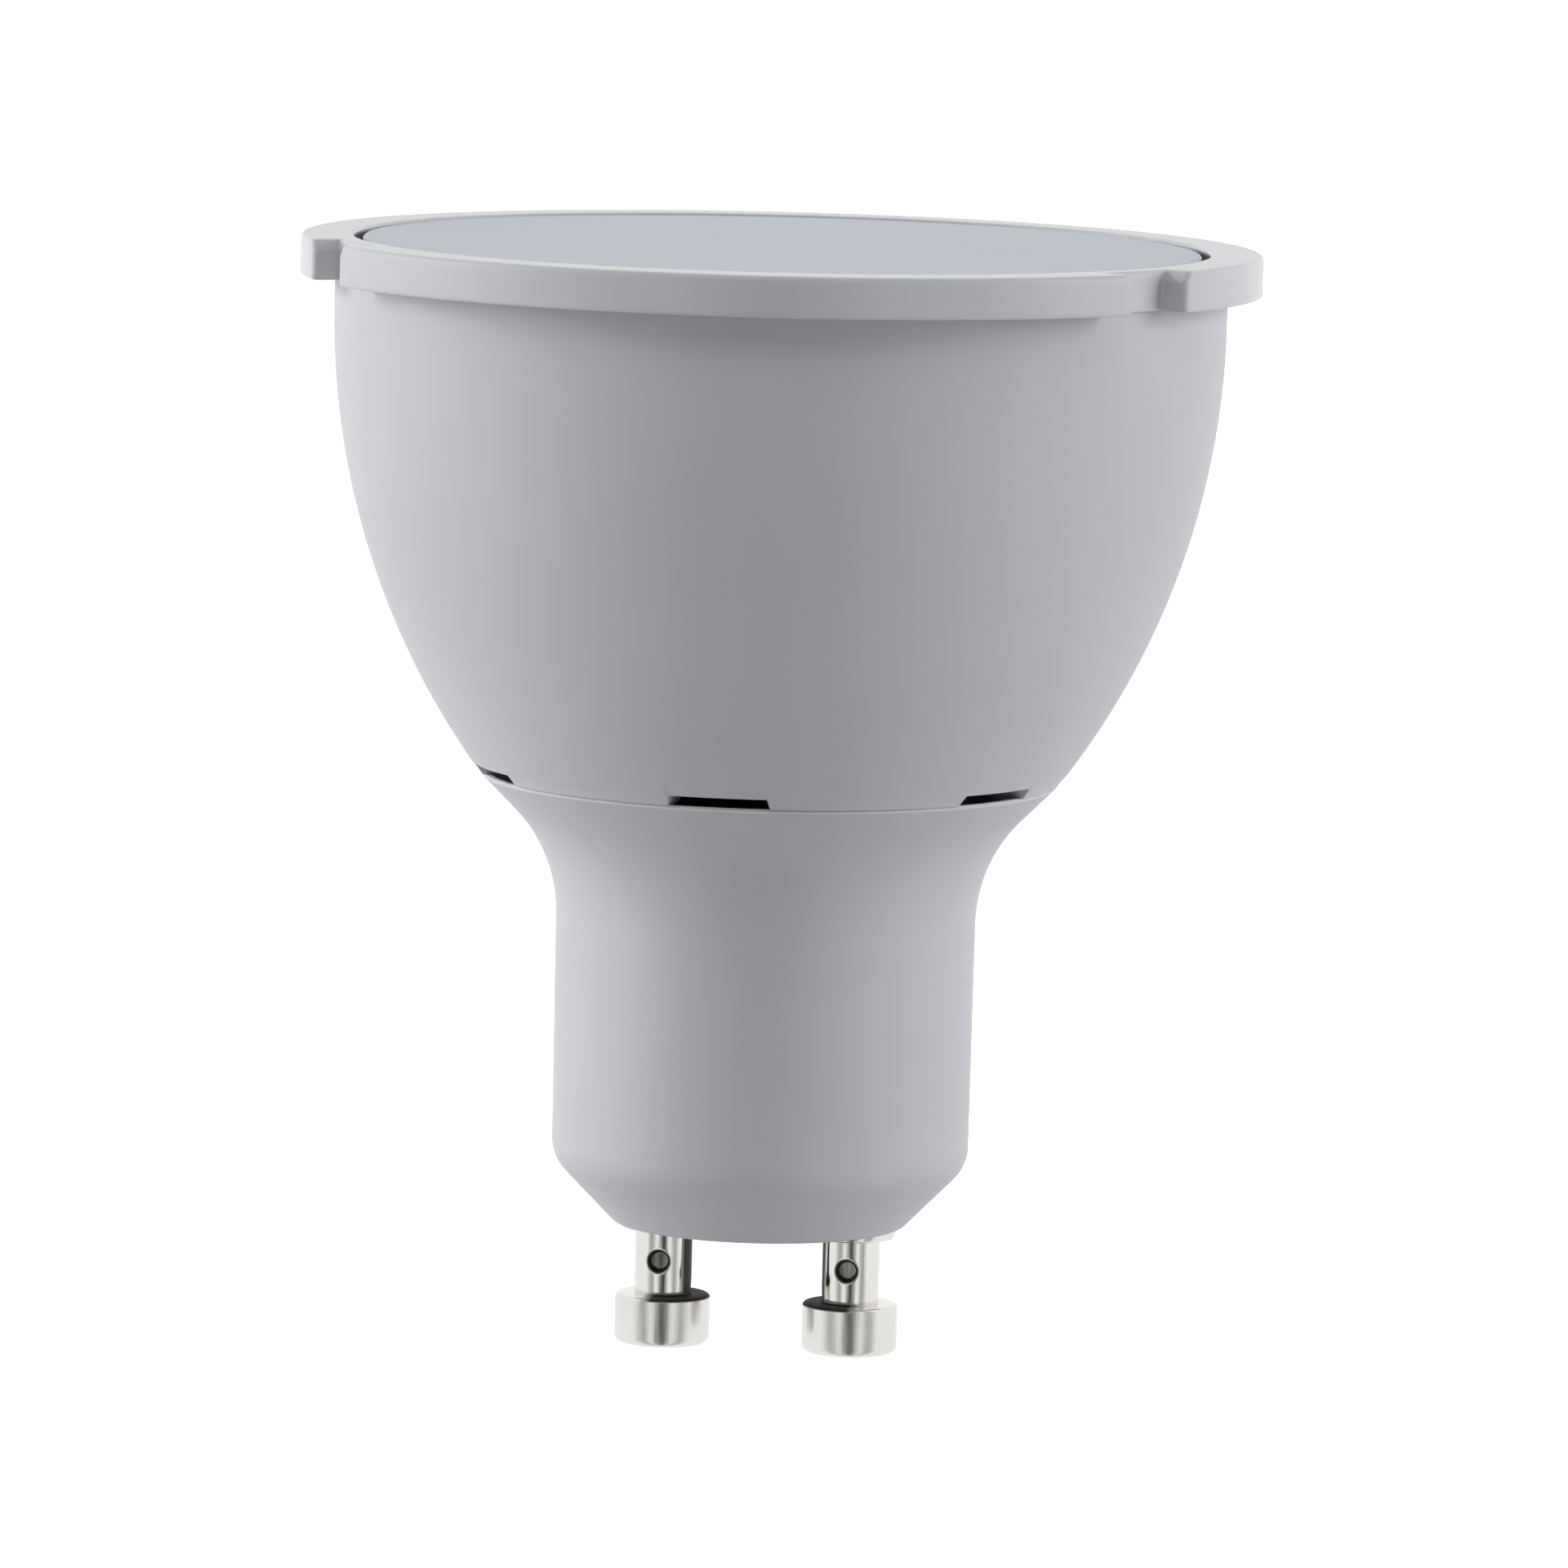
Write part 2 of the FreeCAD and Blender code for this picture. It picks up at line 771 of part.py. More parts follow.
def film_capacitor():
    """The box capacitor across the supply, low on the board's back."""
    box = block(film_width, film_depth, film_height, 0, board_bottom_z + film_lift, 1)
    upright = [edge for edge in box.Edges
               if abs(edge.tangentAt(edge.FirstParameter).z) > 0.9]
    return box.makeFillet(film_edge, upright)


def fusible_resistor():
    """The axial resistor that protects the supply, with its two end caps."""
    wide = resistor_radius + resistor_cap_step
    high_z = output_pad_z - solder_radius - resistor_cap
    low_z = high_z - resistor_length
    body = turned(half_section([
        (0, low_z), (wide, low_z), (wide, low_z + resistor_cap),
        (resistor_radius, low_z + resistor_cap),
        (resistor_radius, high_z - resistor_cap),
        (wide, high_z - resistor_cap),
        (wide, high_z), (0, high_z),
    ]))
    body.translate(Vector(board_half_width - resistor_inset, -board_face_y - wide, 0))
    return body


def legged_package(width, depth, height, centre_x, low_z, side, legs):
    """A moulded package on the board, with bent legs to its left and right."""
    body = block(width, depth - leg_thickness, height, centre_x, low_z, side, leg_thickness)
    reach_width = width + 2 * leg_reach
    inner_width = reach_width - 2 * leg_width
    pitch = height / legs
    for index in range(legs):
        leg_z = low_z + pitch * (index + 0.5) - leg_width / 2
        leg = block(reach_width, depth / 2, leg_width, centre_x, leg_z, side)
        under = block(inner_width, depth / 2 - leg_thickness, leg_width, centre_x, leg_z, side)
        body = body.fuse(leg.cut(under))
    return body.removeSplitter()


def bridge_rectifier():
    """The four-legged rectifier, at the top of the board's back."""
    x = package_inset - board_half_width
    low_z = board_top_z - board_corner - bridge_height
    return legged_package(bridge_width, bridge_depth, bridge_height, x, low_z, 1, 2)


def driver_chip():
    """The eight-legged control chip, on the board's back."""
    x = package_inset - board_half_width
    return legged_package(chip_width, chip_depth, chip_height, x, board_bottom_z + chip_lift, 1, 4)


def output_diode():
    """The output diode, above the choke, with one leg at each side."""
    low_z = choke_top_z + part_gap
    return legged_package(diode_width, diode_depth, diode_height, diode_shift, low_z, -1, 1)


def small_resistors():
    """A column of small chip resistors at the edge of the board's back."""
    x = board_half_width - small_resistor_inset
    pitch = small_resistor_height + leg_width + part_gap
    first_z = base_floor_z + guide_rib_length + part_gap
    return Part.Compound([
        block(small_resistor_width, small_resistor_depth, small_resistor_height,
              x, first_z + index * pitch, 1)
        for index in range(small_resistor_count)])


def solder_cone(point, direction):
    """The joint where a lead meets its pad."""
    return Part.makeCone(solder_radius, lead_radius, solder_height, point, direction)


def supply_lead(side):
    """The lead that is crimped in a pin and soldered to the board's front."""
    x = side * pin_pitch / 2
    start_z = foot_height + pin_bore_floor
    bend_z = base_floor_z + rivet_height + lead_stand
    pad_z = board_bottom_z + supply_pad_lift
    out_y = -board_face_y - lead_stand
    core_radius = min(lead_radius, pin_bore_radius - pin_fit)
    pad = Vector(x, -board_face_y, pad_z)
    wire = wire_run([
        Vector(x, 0, start_z),
        Vector(x, 0, bend_z),
        Vector(x, out_y, bend_z + lead_stand - lead_radius),
        Vector(x, out_y, pad_z),
        pad,
    ], core_radius)
    return wire.fuse(solder_cone(pad, Vector(0, -1, 0)))


def output_lead(side):
    """The lead from the driver board, through the grommet, to a pad on the diodes' board."""
    start_x = board_half_width - output_pad_inset + side * output_pad_pitch / 2
    start = Vector(start_x, -board_face_y, output_pad_z)
    out_y = start.y - lead_stand
    pitch_x = side * lead_pitch / 2
    arch_z = led_face_z + grommet_lip_height + lead_arch
    landing = Vector(side * lead_landing, 0, led_face_z)
    wire = wire_run([
        start,
        Vector(start.x, out_y, start.z),
        Vector(start.x, out_y, board_top_z),
        Vector(pitch_x, 0, spreader_under_z - lead_stand),
        Vector(pitch_x, 0, arch_z),
        Vector(landing.x, 0, arch_z),
        landing,
    ], lead_radius)
    return wire.fuse([solder_cone(start, Vector(0, -1, 0)), solder_cone(landing, UP)])


nodes = {
    "contact_pin_left": contact_pin(-pin_pitch / 2),
    "contact_pin_right": contact_pin(pin_pitch / 2),
    "base_housing": base_housing(),
    "upper_housing": upper_housing(),
    "bezel_ring": bezel_ring(),
    "lens_gasket": lens_gasket(),
    "diffuser_lens": diffuser_lens(),
    "heat_spreader": heat_spreader(),
    "thermal_pad": thermal_pad(),
    "led_board": led_board(),
    "led_packages": led_packages(),
    "board_screws": board_screws(),
    "lead_grommet": lead_grommet(),
    "driver_board": driver_board(),
    "choke_core": choke_core(),
    "choke_winding": choke_winding(),
    "input_capacitor": input_capacitor(),
    "output_capacitor": output_capacitor(),
    "film_capacitor": film_capacitor(),
    "fusible_resistor": fusible_resistor(),
    "bridge_rectifier": bridge_rectifier(),
    "driver_chip": driver_chip(),
    "output_diode": output_diode(),
    "small_resistors": small_resistors(),
    "supply_lead_left": supply_lead(-1),
    "supply_lead_right": supply_lead(1),
    "output_lead_positive": output_lead(1),
    "output_lead_negative": output_lead(-1),
}

for name, shape in nodes.items():
    shape.exportStep("parts/" + name + ".step")
    box = shape.BoundBox
    print(name, shape.ShapeType, len(shape.Solids), shape.isValid(),
          "volume", round(shape.Volume, 1),
          "z", round(box.ZMin, 2), round(box.ZMax, 2))
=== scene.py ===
# %% [markdown]
# # A GU10 spotlight lamp
# The lamp stands on its two pins with the lens up. Its outside is a moulded neck, a cup with vent
# slots, a notched front ring and a frosted lens. The CAD model gives every piece its
# place. Here the outer pieces get their fine roundings, and every piece gets its finish.

# %% Load the CAD model
import bpy
import bmesh
import math
from mathutils import Matrix, Vector


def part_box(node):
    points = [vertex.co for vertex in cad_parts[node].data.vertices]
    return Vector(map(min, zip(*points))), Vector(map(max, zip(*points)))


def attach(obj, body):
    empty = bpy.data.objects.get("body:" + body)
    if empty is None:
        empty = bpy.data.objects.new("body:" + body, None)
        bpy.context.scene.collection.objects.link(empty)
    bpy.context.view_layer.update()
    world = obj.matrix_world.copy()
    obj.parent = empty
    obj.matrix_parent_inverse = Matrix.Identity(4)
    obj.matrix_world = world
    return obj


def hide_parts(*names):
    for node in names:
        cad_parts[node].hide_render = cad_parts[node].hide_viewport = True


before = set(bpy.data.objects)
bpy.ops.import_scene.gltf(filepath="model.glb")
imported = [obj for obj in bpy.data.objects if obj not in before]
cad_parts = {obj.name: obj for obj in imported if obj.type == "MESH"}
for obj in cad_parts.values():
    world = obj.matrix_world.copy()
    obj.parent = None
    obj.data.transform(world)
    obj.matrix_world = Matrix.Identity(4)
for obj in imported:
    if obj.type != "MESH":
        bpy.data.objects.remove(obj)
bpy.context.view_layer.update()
MM = 0.001


def extent(node):
    """The lowest and highest corner of a CAD node, in millimetres."""
    low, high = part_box(node)
    return low / MM, high / MM


cup_low, cup_high = extent("upper_housing")
ring_low, ring_high = extent("bezel_ring")
lens_low, lens_high = extent("diffuser_lens")
pin_top_z = extent("contact_pin_right")[1].z
seam_z = cup_low.z
rim_z = cup_high.z
top_z = ring_high.z
print("seam", round(seam_z, 2), "rim", round(rim_z, 2), "top", round(top_z, 2), "mm")

# %% [markdown]
# ## Camera
# The photo was taken from about 56 cm away with a long lens, a little above the lamp's rim and
# a little to its right, so that the lens disc shows as a thin ellipse. The camera could look at
# the lamp through a Track To constraint. Its place and turn are set outright here, because they
# were fitted to the outline in the photo, down to a camera held one and a half degrees askew.

# %% Camera
camera_distance = 561.76
camera_height = 96.03
camera_side = math.radians(9.74)
camera_heading = math.radians(9.66)
camera_pitch = math.radians(6.726)
camera_roll = math.radians(1.446)
focal_length = 248.5
sensor_width = 36.0

ahead = Vector((-math.sin(camera_heading) * math.cos(camera_pitch),
                math.cos(camera_heading) * math.cos(camera_pitch),
                -math.sin(camera_pitch)))
level = Vector((math.cos(camera_heading), math.sin(camera_heading), 0.0))
above = level.cross(ahead)
right = level * math.cos(camera_roll) + above * math.sin(camera_roll)
upward = above * math.cos(camera_roll) - level * math.sin(camera_roll)

camera_data = bpy.data.cameras.new("photo_camera")
camera_data.sensor_width = sensor_width
camera_data.lens = focal_length
camera_data.clip_start = 0.01
camera = bpy.data.objects.new("photo_camera", camera_data)
bpy.context.scene.collection.objects.link(camera)
placing = Matrix((right, upward, -ahead)).transposed().to_4x4()
placing.translation = Vector((camera_distance * math.sin(camera_side),
                              -camera_distance * math.cos(camera_side),
                              camera_height)) * MM
camera.matrix_world = placing
bpy.context.scene.camera = camera
bpy.context.scene.view_settings.view_transform = "Standard"
print("camera at", [round(c, 3) for c in placing.translation])

# %% [markdown]
# ## Small helpers
# Shaders, Geometry Nodes and the world are all node trees, so one function can add a node to any
# of them, set its options and fill its inputs with values or with links. The nodes that come up
# most often get a short form. Colours are picked as on a screen, in sRGB, but Blender counts
# light linearly, so one function turns them over.

# %% Node and colour helpers


def add(tree, kind, inputs=None, **settings):
    """Add a node, set its options, and give its inputs values or links."""
    node = tree.nodes.new(kind)
    for name, value in settings.items():
        setattr(node, name, value)
    for socket, value in (inputs or {}).items():
        if isinstance(value, bpy.types.NodeSocket):
            tree.links.new(value, node.inputs[socket])
        else:
            node.inputs[socket].default_value = value
    return node


def maths(tree, operation, *values):
    """The result of a Math node, from up to three values or links."""
    return add(tree, "ShaderNodeMath", dict(enumerate(values)), operation=operation).outputs[0]


def ranged(tree, value, start, end=(0.0, 1.0)):
    """A value carried over from one range to another."""
    return add(tree, "ShaderNodeMapRange", {
        "Value": value, "From Min": start[0], "From Max": start[1], "To Min": end[0],
        "To Max": end[1]}).outputs["Result"]


def mixed(tree, share, first, second):
    """A colour between two others. The share of the second runs from 0 to 1."""
    return add(tree, "ShaderNodeMix", {"Factor": share, "A": first, "B": second},
               data_type="RGBA").outputs["Result"]


def colour(text):
    """A linear colour from its sRGB hex value."""
    parts = [int(text[i:i + 2], 16) / 255 for i in (1, 3, 5)]
    linear = [c / 12.92 if c <= 0.04045 else ((c + 0.055) / 1.055) ** 2.4 for c in parts]
    return (*linear, 1.0)


print("mid grey", [round(c, 3) for c in colour("#808080")])

# %% [markdown]
# ## Floor
# A product photo is taken on a white sweep. Light strong enough to burn it out would also wash
# out the lamp, so the floor glows instead, but only for the camera. Near the lamp part of what
# the camera sees is still the lit paper, so that the soft shadow under the pins stays, and
# further off, where a real sweep curves up, the glow takes over. The pins stand so close to the
# floor that they would mirror nothing else, so mirror rays pass through it to the world.

# %% Floor
floor_glow = 0.8
glow_start = 0.12
glow_full = 0.5
floor_half = 6.0
floor_mesh = bpy.data.meshes.new("floor")
floor_mesh.from_pydata([(-floor_half, -floor_half, 0), (floor_half, -floor_half, 0),
                        (floor_half, floor_half, 0), (-floor_half, floor_half, 0)],
                       [], [(0, 1, 2, 3)])
floor = bpy.data.objects.new("floor", floor_mesh)
bpy.context.scene.collection.objects.link(floor)
paper = bpy.data.materials.new("white_paper_sweep")
paper.use_nodes = True
tree = paper.node_tree
sheet = tree.nodes["Principled BSDF"]
sheet.inputs["Base Color"].default_value = colour("#DADADA")
sheet.inputs["Roughness"].default_value = 0.9
sheet.inputs["Specular IOR Level"].default_value = 0.1
ray = add(tree, "ShaderNodeLightPath").outputs
mirror = maths(tree, "MAXIMUM", ray["Is Glossy Ray"], ray["Is Transmission Ray"])
spot = add(tree, "ShaderNodeTexCoord")
away = add(tree, "ShaderNodeVectorMath", {0: spot.outputs["Object"]}, operation="LENGTH")
brighter = ranged(tree, away.outputs["Value"], (glow_start, glow_full), (floor_glow, 1.0))
strength = maths(tree, "MULTIPLY", ray["Is Camera Ray"], brighter)
glow = add(tree, "ShaderNodeEmission", {"Color": (1, 1, 1, 1), "Strength": strength})
both = add(tree, "ShaderNodeAddShader", {0: sheet.outputs[0], 1: glow.outputs[0]})
clear = add(tree, "ShaderNodeBsdfTransparent")
shown = add(tree, "ShaderNodeMixShader", {0: mirror, 1: both.outputs[0], 2: clear.outputs[0]})
tree.links.new(shown.outputs[0], tree.nodes["Material Output"].inputs["Surface"])
floor_mesh.materials.append(paper)
print("floor", 2 * floor_half, "m across")

# %% [markdown]
# ## World
# The sky round the lamp does two jobs. For scattered light it is a dim even fill, which keeps
# the face turned to the camera darker than the sides. For mirror reflections it is a white
# studio with a dark zone behind the camera and a grey gap beside each front light. Upright
# bands of light and dark by compass direction draw the streaks on the plated pins: each band
# has an angle, in degrees from the camera's side, and a brightness.

# %% World
fill_strength = 0.1
mirror_strength = 1.0
world = bpy.data.worlds.new("studio")
world.use_nodes = True
bpy.context.scene.world = world
tree = world.node_tree
fill = tree.nodes["Background"]
fill.inputs["Color"].default_value = colour("#FFFFFF")
fill.inputs["Strength"].default_value = fill_strength
behind_camera = 0.08
studio_bands = {4.0: 0.1, 9.0: 0.3, 15.0: 0.5, 22.0: 0.92, 29.0: 1.0, 36.0: 0.68, 44.0: 0.44,
                51.0: 0.46, 60.0: 0.75, 69.0: 1.0, 180.0: 1.0}
direction = add(tree, "ShaderNodeTexCoord")
toward = add(tree, "ShaderNodeVectorMath",
             {0: direction.outputs["Generated"],
              1: (math.sin(camera_side), -math.cos(camera_side), 0.0)},
             operation="DOT_PRODUCT")
across = add(tree, "ShaderNodeVectorMath",
             {0: direction.outputs["Generated"],
              1: (math.cos(camera_side), math.sin(camera_side), 0.0)},
             operation="DOT_PRODUCT")
compass = maths(tree, "ARCTAN2", across.outputs["Value"], toward.outputs["Value"])
turned = maths(tree, "ABSOLUTE", compass)
share = maths(tree, "DIVIDE", turned, math.pi)
bands = add(tree, "ShaderNodeValToRGB", {"Fac": share})
stops = bands.color_ramp.elements
stops[0].color = (behind_camera, behind_camera, behind_camera, 1.0)
stops.remove(stops[1])
for degrees, level in studio_bands.items():
    stops.new(degrees / 180.0).color = (level, level, level, 1.0)
studio = add(tree, "ShaderNodeBackground", {"Color": bands.outputs["Color"],
                                            "Strength": mirror_strength})
ray = add(tree, "ShaderNodeLightPath").outputs
mirror = maths(tree, "MAXIMUM", ray["Is Glossy Ray"], ray["Is Transmission Ray"])
indoors = add(tree, "ShaderNodeMixShader", {0: mirror, 1: fill.outputs[0],
                                            2: studio.outputs[0]})
backdrop = add(tree, "ShaderNodeBackground", {"Color": (1, 1, 1, 1), "Strength": 1.0})
seen = add(tree, "ShaderNodeMixShader", {0: ray["Is Camera Ray"], 1: indoors.outputs[0],
                                         2: backdrop.outputs[0]})
tree.links.new(seen.outputs[0], tree.nodes["World Output"].inputs["Surface"])
print("fill", fill_strength)

# %% [markdown]
# ## Softboxes
# The photo's cup is brightest at its left and right edges and darkest in the middle, so the
# lamp was lit from both sides, slightly from behind. The top face of the ring is the brightest
# of all, so a third light hangs above it. Area lamps are used, because their size is what makes
# the change from light to dark so soft. Mirror rays leave them out: what the plated pins mirror
# is drawn by the world's bands, no brighter than white paper.

# %% Softboxes
lamp_middle = Vector((0.0, 0.0, 0.033))
side_distance = 0.9
side_height = 0.16
box_size = (0.55, 0.8)
wide_box = (0.65, 0.8)


def softbox(name, angle, power, size=box_size, distance=side_distance, height=side_height):
    """An area lamp round the part: angle in degrees from the camera's side, to the right."""
    heading = camera_side + math.radians(angle)
    place = Vector((math.sin(heading) * distance, -math.cos(heading) * distance, height))
    light = bpy.data.lights.new(name, "AREA")
    light.shape = "RECTANGLE"
    light.size, light.size_y = size
    light.energy = power
    holder = bpy.data.objects.new(name, light)
    bpy.context.scene.collection.objects.link(holder)
    holder.visible_glossy = False
    holder.location = place
    holder.rotation_euler = (lamp_middle - place).to_track_quat("-Z", "Y").to_euler()


softbox("left_softbox", -94.0, 12.8, size=wide_box)
softbox("left_back_softbox", -150.0, 0.6)
softbox("right_softbox", 85.0, 8.7)
softbox("right_back_softbox", 145.0, 2.5)
softbox("top_softbox", 0.0, 2.6, distance=0.45, height=0.8)
print("softboxes", len(bpy.data.lights))

# %% [markdown]
# ## Housing plastic
# The cup, neck and ring are injection-moulded polycarbonate blend, grey all through. The mould
# is spark-eroded, which leaves a very fine satin grain: no sharp reflection, only a soft sheen
# that grows at grazing angles. The grain is 0.05 mm on the real lamp, too fine to show, so it
# is drawn at 0.2 mm. Moulding also leaves slow changes of tone over a centimetre or so, and
# handling leaves a few dark specks, each about a tenth of a millimetre wide. A paler band along
# the neck's upper edge, under the seam, is a painted highlight: it stands for light caught by a
# rounding of that edge, which the neck's shape lacks.

# %% Housing plastic
tone_size = 9.0
grain_size = 0.2
grain_depth = 0.02
speck_spacing = 7.0
speck_core = 0.006
speck_edge = 0.016
speck_depth = 0.4
# Size and strength of the painted highlight along the neck's upper edge
highlight_height = 0.24
highlight_share = 0.6
sheen_range = 0.06


def per_metre(size):
    """The texture scale whose features have a size given in millimetres."""
    return 1.0 / (size * MM)


def new_material(name):
    """A material with its tree, its shader and its Object coordinates."""
    made = bpy.data.materials.new(name)
    made.use_nodes = True
    place = add(made.node_tree, "ShaderNodeTexCoord").outputs["Object"]
    return made, made.node_tree, made.node_tree.nodes["Principled BSDF"], place


def noise(tree, place, size, detail=2.0):
    """Noise whose features have a size given in millimetres."""
    return add(tree, "ShaderNodeTexNoise", {"Vector": place, "Scale": per_metre(size),
                                            "Detail": detail}).outputs["Fac"]


def two_tones(tree, place, light, dark, size, detail=2.0):
    """The colour of two close tones that drift into each other."""
    return mixed(tree, noise(tree, place, size, detail), colour(dark), colour(light))


def fine_grain(tree, shader, place, size, depth, strength, roughness, detail=2.0):
    """A grain that gives a shader its relief, and its roughness between two values."""
    grain = noise(tree, place, size, detail)
    relief = add(tree, "ShaderNodeBump", {"Height": grain, "Strength": strength,
                                          "Distance": depth * MM})
    sheen = ranged(tree, grain, (0.0, 1.0), roughness)
    tree.links.new(sheen, shader.inputs["Roughness"])
    tree.links.new(relief.outputs["Normal"], shader.inputs["Normal"])


def moulded_plastic(name, light, dark, roughness, shine, highlight_z=None):
    """Satin moulded plastic: slow tone, fine grain, rare specks, and perhaps a painted highlight.
    """
    made, tree, shader, place = new_material(name)
    base = two_tones(tree, place, light, dark, tone_size)
    cell = add(tree, "ShaderNodeTexVoronoi", {"Vector": place,
                                              "Scale": per_metre(speck_spacing)})
    speck = ranged(tree, cell.outputs["Distance"], (speck_core, speck_edge), (speck_depth, 0.0))
    base = mixed(tree, speck, base, colour("#808083"))
    if highlight_z is not None:
        # A paler band just below the given height: a painted highlight along an edge
        height = add(tree, "ShaderNodeSeparateXYZ", {"Vector": place}).outputs["Z"]
        painted_highlight = ranged(tree, height, ((highlight_z - highlight_height) * MM,
                                       (highlight_z - highlight_height / 2) * MM),
                        (0.0, highlight_share))
        base = mixed(tree, painted_highlight, base, colour("#E6E7EA"))
    tree.links.new(base, shader.inputs["Base Color"])
    fine_grain(tree, shader, place, grain_size, grain_depth, 0.12,
               (roughness - sheen_range, roughness + sheen_range), detail=1.0)
    shader.inputs["IOR"].default_value = 1.5
    shader.inputs["Specular IOR Level"].default_value = shine
    return made


housing_look = ("#BCBDC1", "#B6B7BB", 0.52, 0.3)
housing_plastic = moulded_plastic("moulded_satin_polycarbonate", *housing_look)
# The neck's plastic carries a painted highlight along its upper edge, under the seam
neck_plastic = moulded_plastic("moulded_neck_polycarbonate", *housing_look, highlight_z=seam_z)
ring_plastic = moulded_plastic("moulded_ring_polycarbonate", "#BDBEC2", "#B8B9BD", 0.22, 0.5)
print(housing_plastic.name, neck_plastic.name, ring_plastic.name)

# %% [markdown]
# ## Turned shapes with Geometry Nodes
# Pins, lens and rings are turned shapes: one half-section, swept round an axis. The Screw
# modifier could do it. A node tree does the same with its sizes named on the outside: the
# section rides on a small circle, from which its points reach in to the axis or out from it.
# On a circle that runs anticlockwise, a section's X points outward and its Y points down.

# %% The lathe tree
sweep_radius = 10.0


def new_tree(name, sockets):
    """A Geometry Nodes tree with one geometry in, one out, and the named inputs."""
    tree = bpy.data.node_groups.new(name, "GeometryNodeTree")
    tree.interface.new_socket("Geometry", in_out="OUTPUT", socket_type="NodeSocketGeometry")
    tree.interface.new_socket("Geometry", in_out="INPUT", socket_type="NodeSocketGeometry")
    for label, kind in sockets.items():
        tree.interface.new_socket(label, in_out="INPUT", socket_type="NodeSocket" + kind)
    return tree, tree.nodes.new("NodeGroupInput").outputs, tree.nodes.new("NodeGroupOutput")


def end_tree(tree, geometry, given, result):
    """End a tree with real geometry, no double points, and one material."""
    whole = add(tree, "GeometryNodeRealizeInstances", {"Geometry": geometry})
    joined = add(tree, "GeometryNodeMergeByDistance", {"Geometry": whole.outputs["Geometry"],
                                                       "Distance": given["Merge Distance"]})
    finish = add(tree, "GeometryNodeSetMaterial", {"Geometry": joined.outputs["Geometry"],
                                                   "Material": given["Material"]})
    tree.links.new(finish.outputs["Geometry"], result.inputs["Geometry"])


lathe, given, result = new_tree("lathe", {"Segments": "Int", "Sweep Radius": "Float",
                                          "Merge Distance": "Float", "Material": "Material"})
section = add(lathe, "GeometryNodeMeshToCurve", {"Mesh": given["Geometry"]})
path = add(lathe, "GeometryNodeCurvePrimitiveCircle", {"Resolution": given["Segments"],
                                                       "Radius": given["Sweep Radius"]})
swept = add(lathe, "GeometryNodeCurveToMesh", {"Curve": path.outputs["Curve"],
                                               "Profile Curve": section.outputs["Curve"]})
end_tree(lathe, swept.outputs["Mesh"], given, result)
print("lathe inputs", [item.name for item in lathe.interface.items_tree])

# %% [markdown]
# ## From tree to finished piece
# Each tree's result is turned into a plain mesh.
# Its doubles are merged and its normals turned outward, then faces that meet gently are shaded
# smooth and true corners stay sharp. The Weighted Normal modifier lets the large faces decide
# the shading, so that a tiny rounding catches a clean line of light.

# %% Growing a piece
merge_distance = 0.002 * MM
sharp_angle = math.radians(32.0)


def rounded(corners, steps=4):
    """Points of a half-section. Each corner is radius, height and rounding, in mm."""
    points = []
    for index, (radius, height, rounding) in enumerate(corners):
        corner = Vector((radius, height))
        if rounding == 0:
            points.append(corner)
            continue
        before = (Vector(corners[index - 1][:2]) - corner).normalized()
        after = (Vector(corners[(index + 1) % len(corners)][:2]) - corner).normalized()
        half = before.angle(after) / 2
        centre = corner + (before + after).normalized() * rounding / math.sin(half)
        start = corner + before * rounding / math.tan(half) - centre
        end = corner + after * rounding / math.tan(half) - centre
        for step in range(steps + 1):
            points.append(centre + start.slerp(end, step / steps) * rounding)
    return points


def section_mesh(name, points):
    """A closed half-section as a mesh of edges, set out for the lathe tree."""
    mesh = bpy.data.meshes.new(name)
    mesh.from_pydata([((p[0] - sweep_radius) * MM, -p[1] * MM, 0.0) for p in points],
                     [(i, (i + 1) % len(points)) for i in range(len(points))], [])
    return mesh


def run_tree(mesh, tree, **values):
    """Run a tree on a mesh and return the result as a plain mesh."""
    seed = bpy.data.objects.new("seed", mesh)
    bpy.context.scene.collection.objects.link(seed)
    modifier = seed.modifiers.new("grow", "NODES")
    modifier.node_group = tree
    for item in tree.interface.items_tree:
        if item.in_out == "INPUT" and item.name in values:
            modifier[item.identifier] = values[item.name]
    bpy.context.view_layer.update()
    ready = seed.evaluated_get(bpy.context.evaluated_depsgraph_get())
    grown = bpy.data.meshes.new_from_object(ready)
    bpy.data.objects.remove(seed)
    return grown


def finished(name, *meshes):
    """Join meshes into one closed shell, smooth its faces and return it as a piece."""
    grown = meshes[0]
    shell = bmesh.new()
    for mesh in meshes:
        shell.from_mesh(mesh)
    bmesh.ops.remove_doubles(shell, verts=shell.verts, dist=merge_distance)
    bmesh.ops.dissolve_degenerate(shell, edges=shell.edges, dist=merge_distance / 4)
    loose = [edge for edge in shell.edges if not edge.link_faces]
    bmesh.ops.delete(shell, geom=loose, context="EDGES")
    bmesh.ops.recalc_face_normals(shell, faces=shell.faces)
    for face in shell.faces:
        face.smooth = True
        face.material_index = 0
    for edge in shell.edges:
        edge.smooth = not edge.is_manifold or edge.calc_face_angle() < sharp_angle
    open_edges = sum(not edge.is_manifold for edge in shell.edges)
    volume = shell.calc_volume(signed=True) / MM ** 3
    finish = [material for material in grown.materials if material][0]
    grown.materials.clear()
    grown.materials.append(finish)
    shell.to_mesh(grown)
    shell.free()
    grown.name = name
    piece = bpy.data.objects.new(name, grown)
    bpy.context.scene.collection.objects.link(piece)
    shading = piece.modifiers.new("even shading", "WEIGHTED_NORMAL")
    shading.keep_sharp = True
    print(name, len(grown.polygons), "faces,", open_edges, "open edges,", round(volume, 1), "mm3")
    return piece


